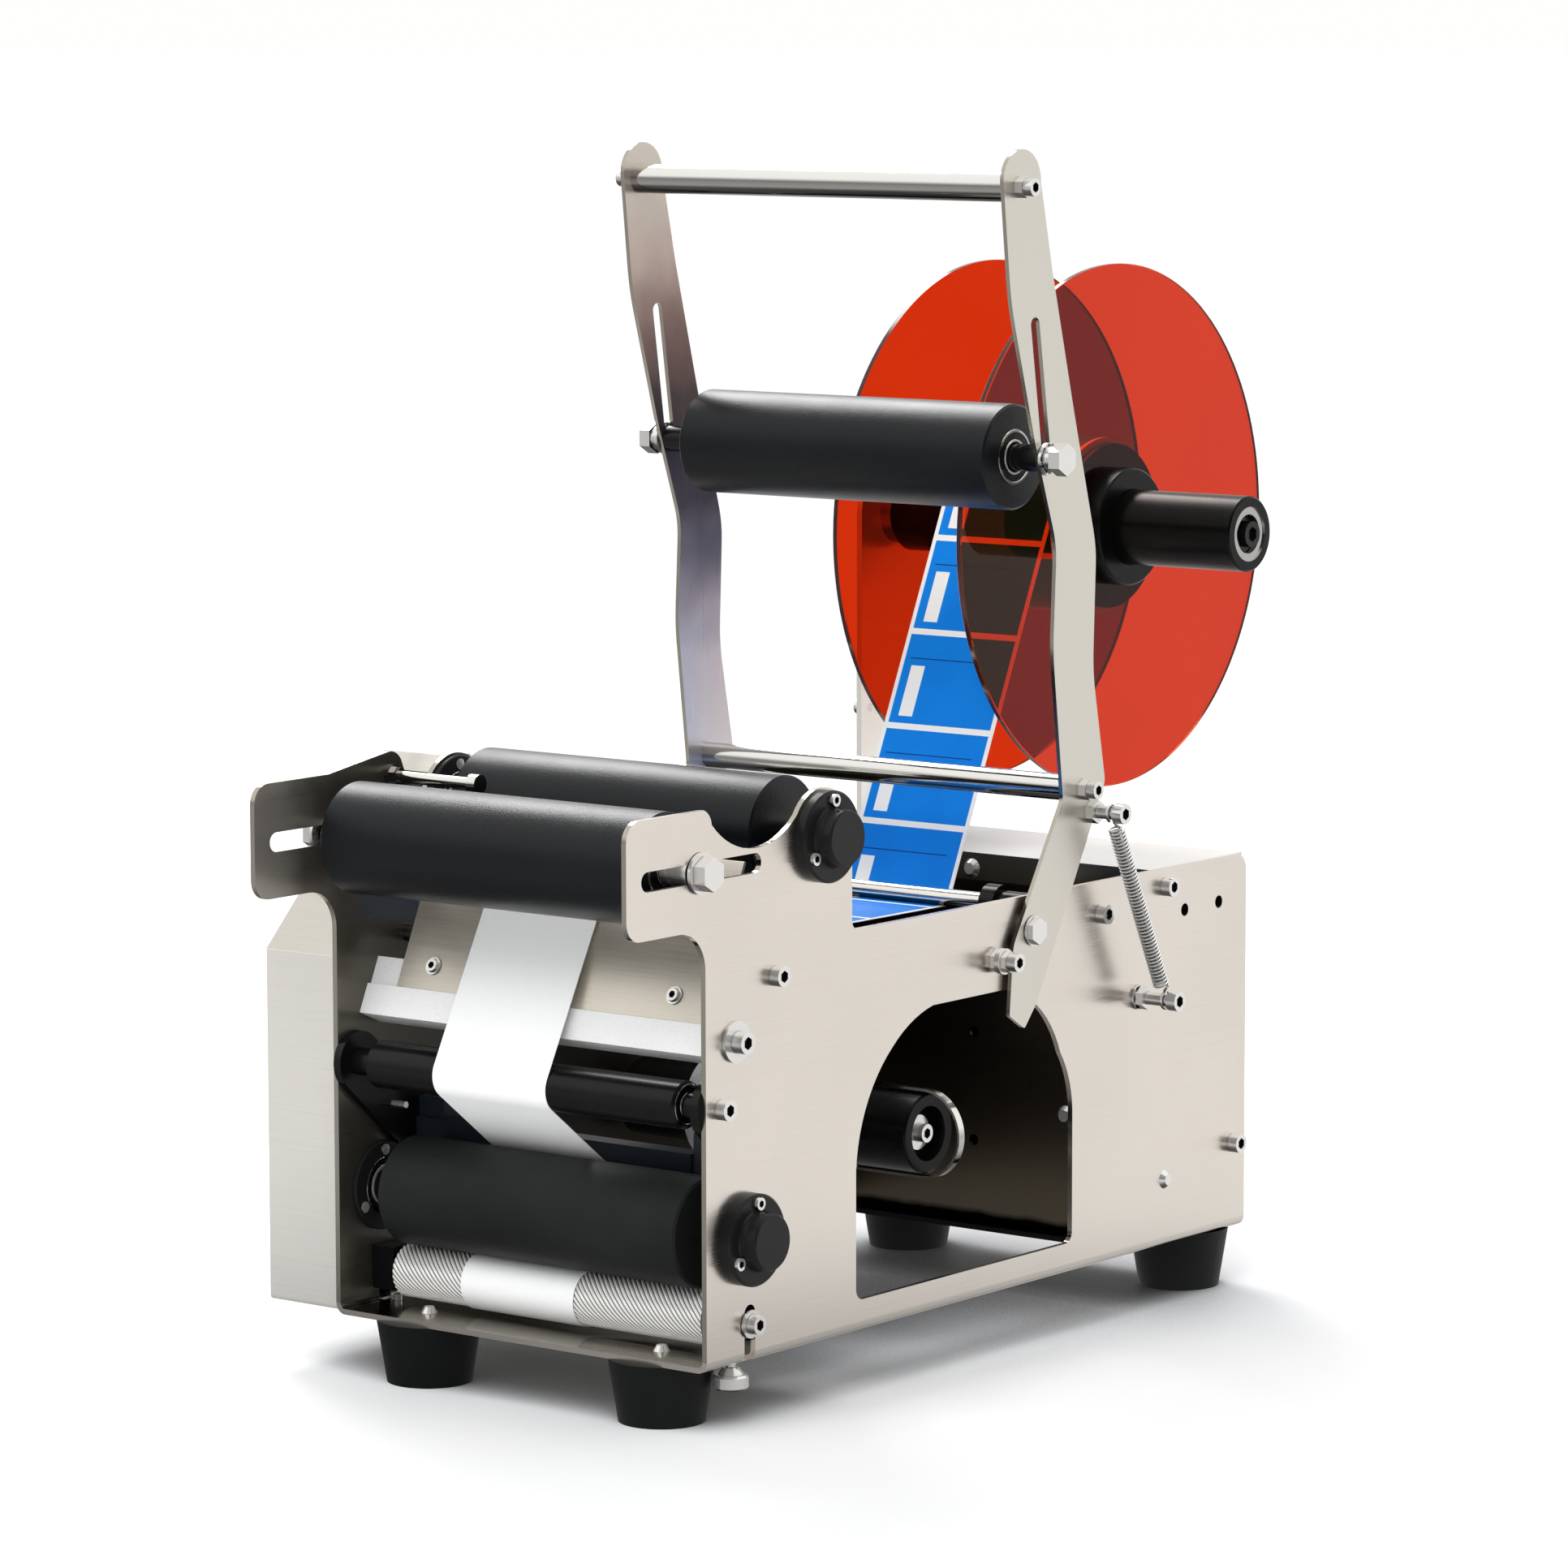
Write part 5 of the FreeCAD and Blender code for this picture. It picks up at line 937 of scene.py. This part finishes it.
def make_label_roll():
    """Roll of labels between the discs: printed outside, wound paper on its sides."""
    inner, outer = 17.9 * MM, ROLL_RADIUS
    sides = 160

    def build(bm):
        layer = bm.loops.layers.uv.new("UVMap")
        profile = [(WEB_LEFT, inner), (WEB_LEFT, outer), (WEB_RIGHT, outer),
                   (WEB_RIGHT, inner)]
        rings = []
        for k in range(sides):
            a = 2.0 * math.pi * k / sides
            rings.append([bm.verts.new((x, REEL[0] + r * math.cos(a),
                                        REEL[1] + r * math.sin(a))) for x, r in profile])
        for k in range(sides):
            one, two = rings[k], rings[(k + 1) % sides]
            for i in range(4):
                j = (i + 1) % 4
                face = bm.faces.new((one[i], one[j], two[j], two[i]))
                face.material_index = (0, 1, 0, 2)[i]
                for loop in face.loops:
                    index = k if loop.vert in one else k + 1
                    if i == 1:
                        loop[layer].uv = (loop.vert.co.x - WEB_LEFT,
                                          2.0 * math.pi * outer * index / sides)
                    else:
                        radius = math.hypot(loop.vert.co.y - REEL[0],
                                            loop.vert.co.z - REEL[1])
                        loop[layer].uv = (index / sides, radius)
    mesh = to_mesh("label_roll_skin", build)
    piece = new_piece("label_coil", mesh, None, "reel", ("label_roll",))
    for key in ("wound_blue", "labels", "paper"):
        mesh.materials.append(M[key])
    shade_by_angle(piece)


# ------------------------------------------------------------------ control panel

def make_display():
    """The dark window at the top of the sloping control panel."""
    up = Vector((0.0, 1.0, 1.0)).normalized()
    out = Vector((0.0, -1.0, 1.0)).normalized()
    right = Vector((1.0, 0.0, 0.0))
    base = Vector((-126.5, -161.0, 229.0)) * MM + up * 21.0 * MM

    def build(bm):
        corners = []
        for depth in (0.45 * MM, 1.7 * MM):
            inset = 0.0 if depth < MM else 0.6 * MM
            corners.append([bm.verts.new(base + out * depth + right * a * (14.4 * MM - inset)
                                         + up * b * (16.8 * MM - inset))
                            for a, b in ((-1, -1), (1, -1), (1, 1), (-1, 1))])
        for k in range(4):
            bm.faces.new((corners[0][k], corners[0][(k + 1) % 4],
                          corners[1][(k + 1) % 4], corners[1][k]))
        bm.faces.new(corners[1])
        bm.faces.new(reversed(corners[0]))

    new_piece("display_window", to_mesh("display", build), M["glass"], "frame",
              smooth=False)


# ------------------------------------------------------------------ surroundings

def make_floor():
    """White floor with a painted contact shadow."""
    half = 40.0
    mesh = to_mesh("floor", lambda bm: bm.faces.new(
        [bm.verts.new((x, y, 0.0)) for x, y in
         ((-half, -half), (half, -half), (half, half), (-half, half))]))
    floor = bpy.data.objects.new("floor", mesh)
    bpy.context.scene.collection.objects.link(floor)
    s = Shader("floor_white_painted_shadow")
    s.put(Roughness=0.6, Specular_IOR_Level=0.1)
    contact = s.add("ShaderNodeAmbientOcclusion", samples=8)
    contact.inputs["Distance"].default_value = 0.22
    # painted shadow: ambient occlusion, deepened by position towards the back, as for a
    # floor lit from the front
    where = s.place()
    depth = s.split(where)["Y"]
    painted_shadow_level = s.math("ADD", contact.outputs["AO"],
                      s.spread(depth, 0.16, -0.10, -0.16, 0.12))
    s.colour(s.ramp(painted_shadow_level, [(0.10, (0.05, 0.05, 0.053)), (0.32, (0.36, 0.365, 0.38)),
                               (0.55, (0.78, 0.79, 0.81)), (0.85, (0.95, 0.95, 0.95))]))
    light = s.add("ShaderNodeEmission")
    light.inputs["Color"].default_value = (1.0, 1.0, 0.99, 1.0)
    path = s.add("ShaderNodeLightPath").outputs
    seen = s.math("MAXIMUM", path["Is Camera Ray"], s.math(
        "MAXIMUM", path["Is Glossy Ray"], path["Is Transmission Ray"]))
    s.link(s.math("MULTIPLY", seen, 0.02), light.inputs["Strength"])
    both = s.add("ShaderNodeAddShader")
    s.link(s.surface.outputs[0], both.inputs[0])
    s.link(light.outputs[0], both.inputs[1])
    # gloss sees a glowing stand-in for the table, with painted shade close to the machine's
    # left front
    shifted = s.add("ShaderNodeVectorMath", operation="ADD")
    s.link(where, shifted.inputs[0])
    shifted.inputs[1].default_value = (0.18, 0.12, 0.0)
    away = s.add("ShaderNodeVectorMath", operation="LENGTH")
    s.link(shifted.outputs[0], away.inputs[0])
    painted_reflection_glow = s.add("ShaderNodeEmission")
    s.link(s.math("MULTIPLY", s.spread(depth, 1.0, 0.50, -0.10, -0.70),
                  s.spread(away.outputs["Value"], 0.22, 0.98, 0.15, 0.62)),
           painted_reflection_glow.inputs["Strength"])
    s.finish_with(path["Is Glossy Ray"], both.outputs[0], painted_reflection_glow.outputs[0])
    mesh.materials.append(s.material)


WORLD_LIGHT = 0.55


def make_world():
    """Even light; camera and clear parts see white, gloss sees a dimmer horizon."""
    world = bpy.data.worlds.new("studio")
    bpy.context.scene.world = world
    world.use_nodes = True
    nodes, links = world.node_tree.nodes, world.node_tree.links
    nodes.clear()

    def math_node(operation, *values):
        node = nodes.new("ShaderNodeMath")
        node.operation = operation
        node.use_clamp = operation == "MULTIPLY_ADD"
        for socket, value in zip(node.inputs, values):
            if isinstance(value, (int, float)):
                socket.default_value = value
            else:
                links.new(value, socket)
        return node.outputs[0]

    def background(colour, strength):
        node = nodes.new("ShaderNodeBackground")
        node.inputs["Color"].default_value = (*colour, 1.0)
        if isinstance(strength, float):
            node.inputs["Strength"].default_value = strength
        else:
            links.new(strength, node.inputs["Strength"])
        return node.outputs[0]

    def mixed(factor, first, second):
        node = nodes.new("ShaderNodeMixShader")
        links.new(factor, node.inputs["Fac"])
        links.new(first, node.inputs[1])
        links.new(second, node.inputs[2])
        return node.outputs[0]

    path = nodes.new("ShaderNodeLightPath")
    around = nodes.new("ShaderNodeTexCoord").outputs["Generated"]
    way = nodes.new("ShaderNodeSeparateXYZ")
    links.new(around, way.inputs[0])
    height, depth = way.outputs["Z"], way.outputs["Y"]
    near_horizon = math_node("MULTIPLY_ADD", math_node("ABSOLUTE", height), -3.0, 1.15)
    in_front = math_node("MULTIPLY_ADD", depth, -2.0, 0.2)
    band = math_node("MULTIPLY", math_node("MULTIPLY", near_horizon, in_front), 0.60)
    # the dark room in front of the machine and to its right
    room = nodes.new("ShaderNodeVectorMath")
    room.operation = "DOT_PRODUCT"
    links.new(around, room.inputs[0])
    room.inputs[1].default_value = (0.62, -0.77, 0.12)
    behind = math_node("MULTIPLY", math_node(
        "MULTIPLY_ADD", room.outputs["Value"], 3.6, -1.7), 0.95)
    gloss = math_node("SUBTRACT", 1.0, math_node("MAXIMUM", band, behind))
    soft = background((0.98, 0.99, 1.0), WORLD_LIGHT)
    mirror = background((0.99, 0.99, 0.98), gloss)
    white = background((1.0, 1.0, 0.99), 1.0)
    clear = math_node("MAXIMUM", path.outputs["Is Camera Ray"],
                      path.outputs["Is Transmission Ray"])
    result = mixed(clear, mixed(path.outputs["Is Glossy Ray"], soft, mirror), white)
    output = nodes.new("ShaderNodeOutputWorld")
    links.new(result, output.inputs["Surface"])


def aim(lamp, way):
    lamp.rotation_mode = "QUATERNION"
    lamp.rotation_quaternion = Vector(way).to_track_quat("-Z", "Y")


def area_light(name, place, target, size, power):
    data = bpy.data.lights.new(name, "AREA")
    data.shape = "RECTANGLE"
    data.size, data.size_y = size
    data.energy = power
    lamp = bpy.data.objects.new(name, data)
    bpy.context.scene.collection.objects.link(lamp)
    lamp.location = place
    aim(lamp, Vector(target) - Vector(place))
    return lamp


def make_lights():
    # an even key from the front and above; gloss sees the softbox instead
    for name, power, spread, way in (("key", 1.65, 50.0, (-0.22, 0.50, -0.84)),
                                     ("fill", 0.75, 70.0, (-0.35, 0.85, -0.30))):
        data = bpy.data.lights.new(name, "SUN")
        data.energy = power
        data.angle = math.radians(spread)
        lamp = bpy.data.objects.new(name, data)
        bpy.context.scene.collection.objects.link(lamp)
        aim(lamp, way)
        lamp.visible_glossy = False
    area_light("softbox", (-1.25, 0.85, 1.7), (0.0, 0.0, 0.25), (1.0, 0.9), 27.0)


make_camera()
make_materials()
dress_nodes()
make_bearing_faces()
make_bracket_pin()
make_left_races()
make_springs()
make_knurled_roller()
make_label_web()
make_label_roll()
make_display()
make_floor()
make_world()
make_lights()

bpy.context.scene.view_settings.view_transform = "Standard"
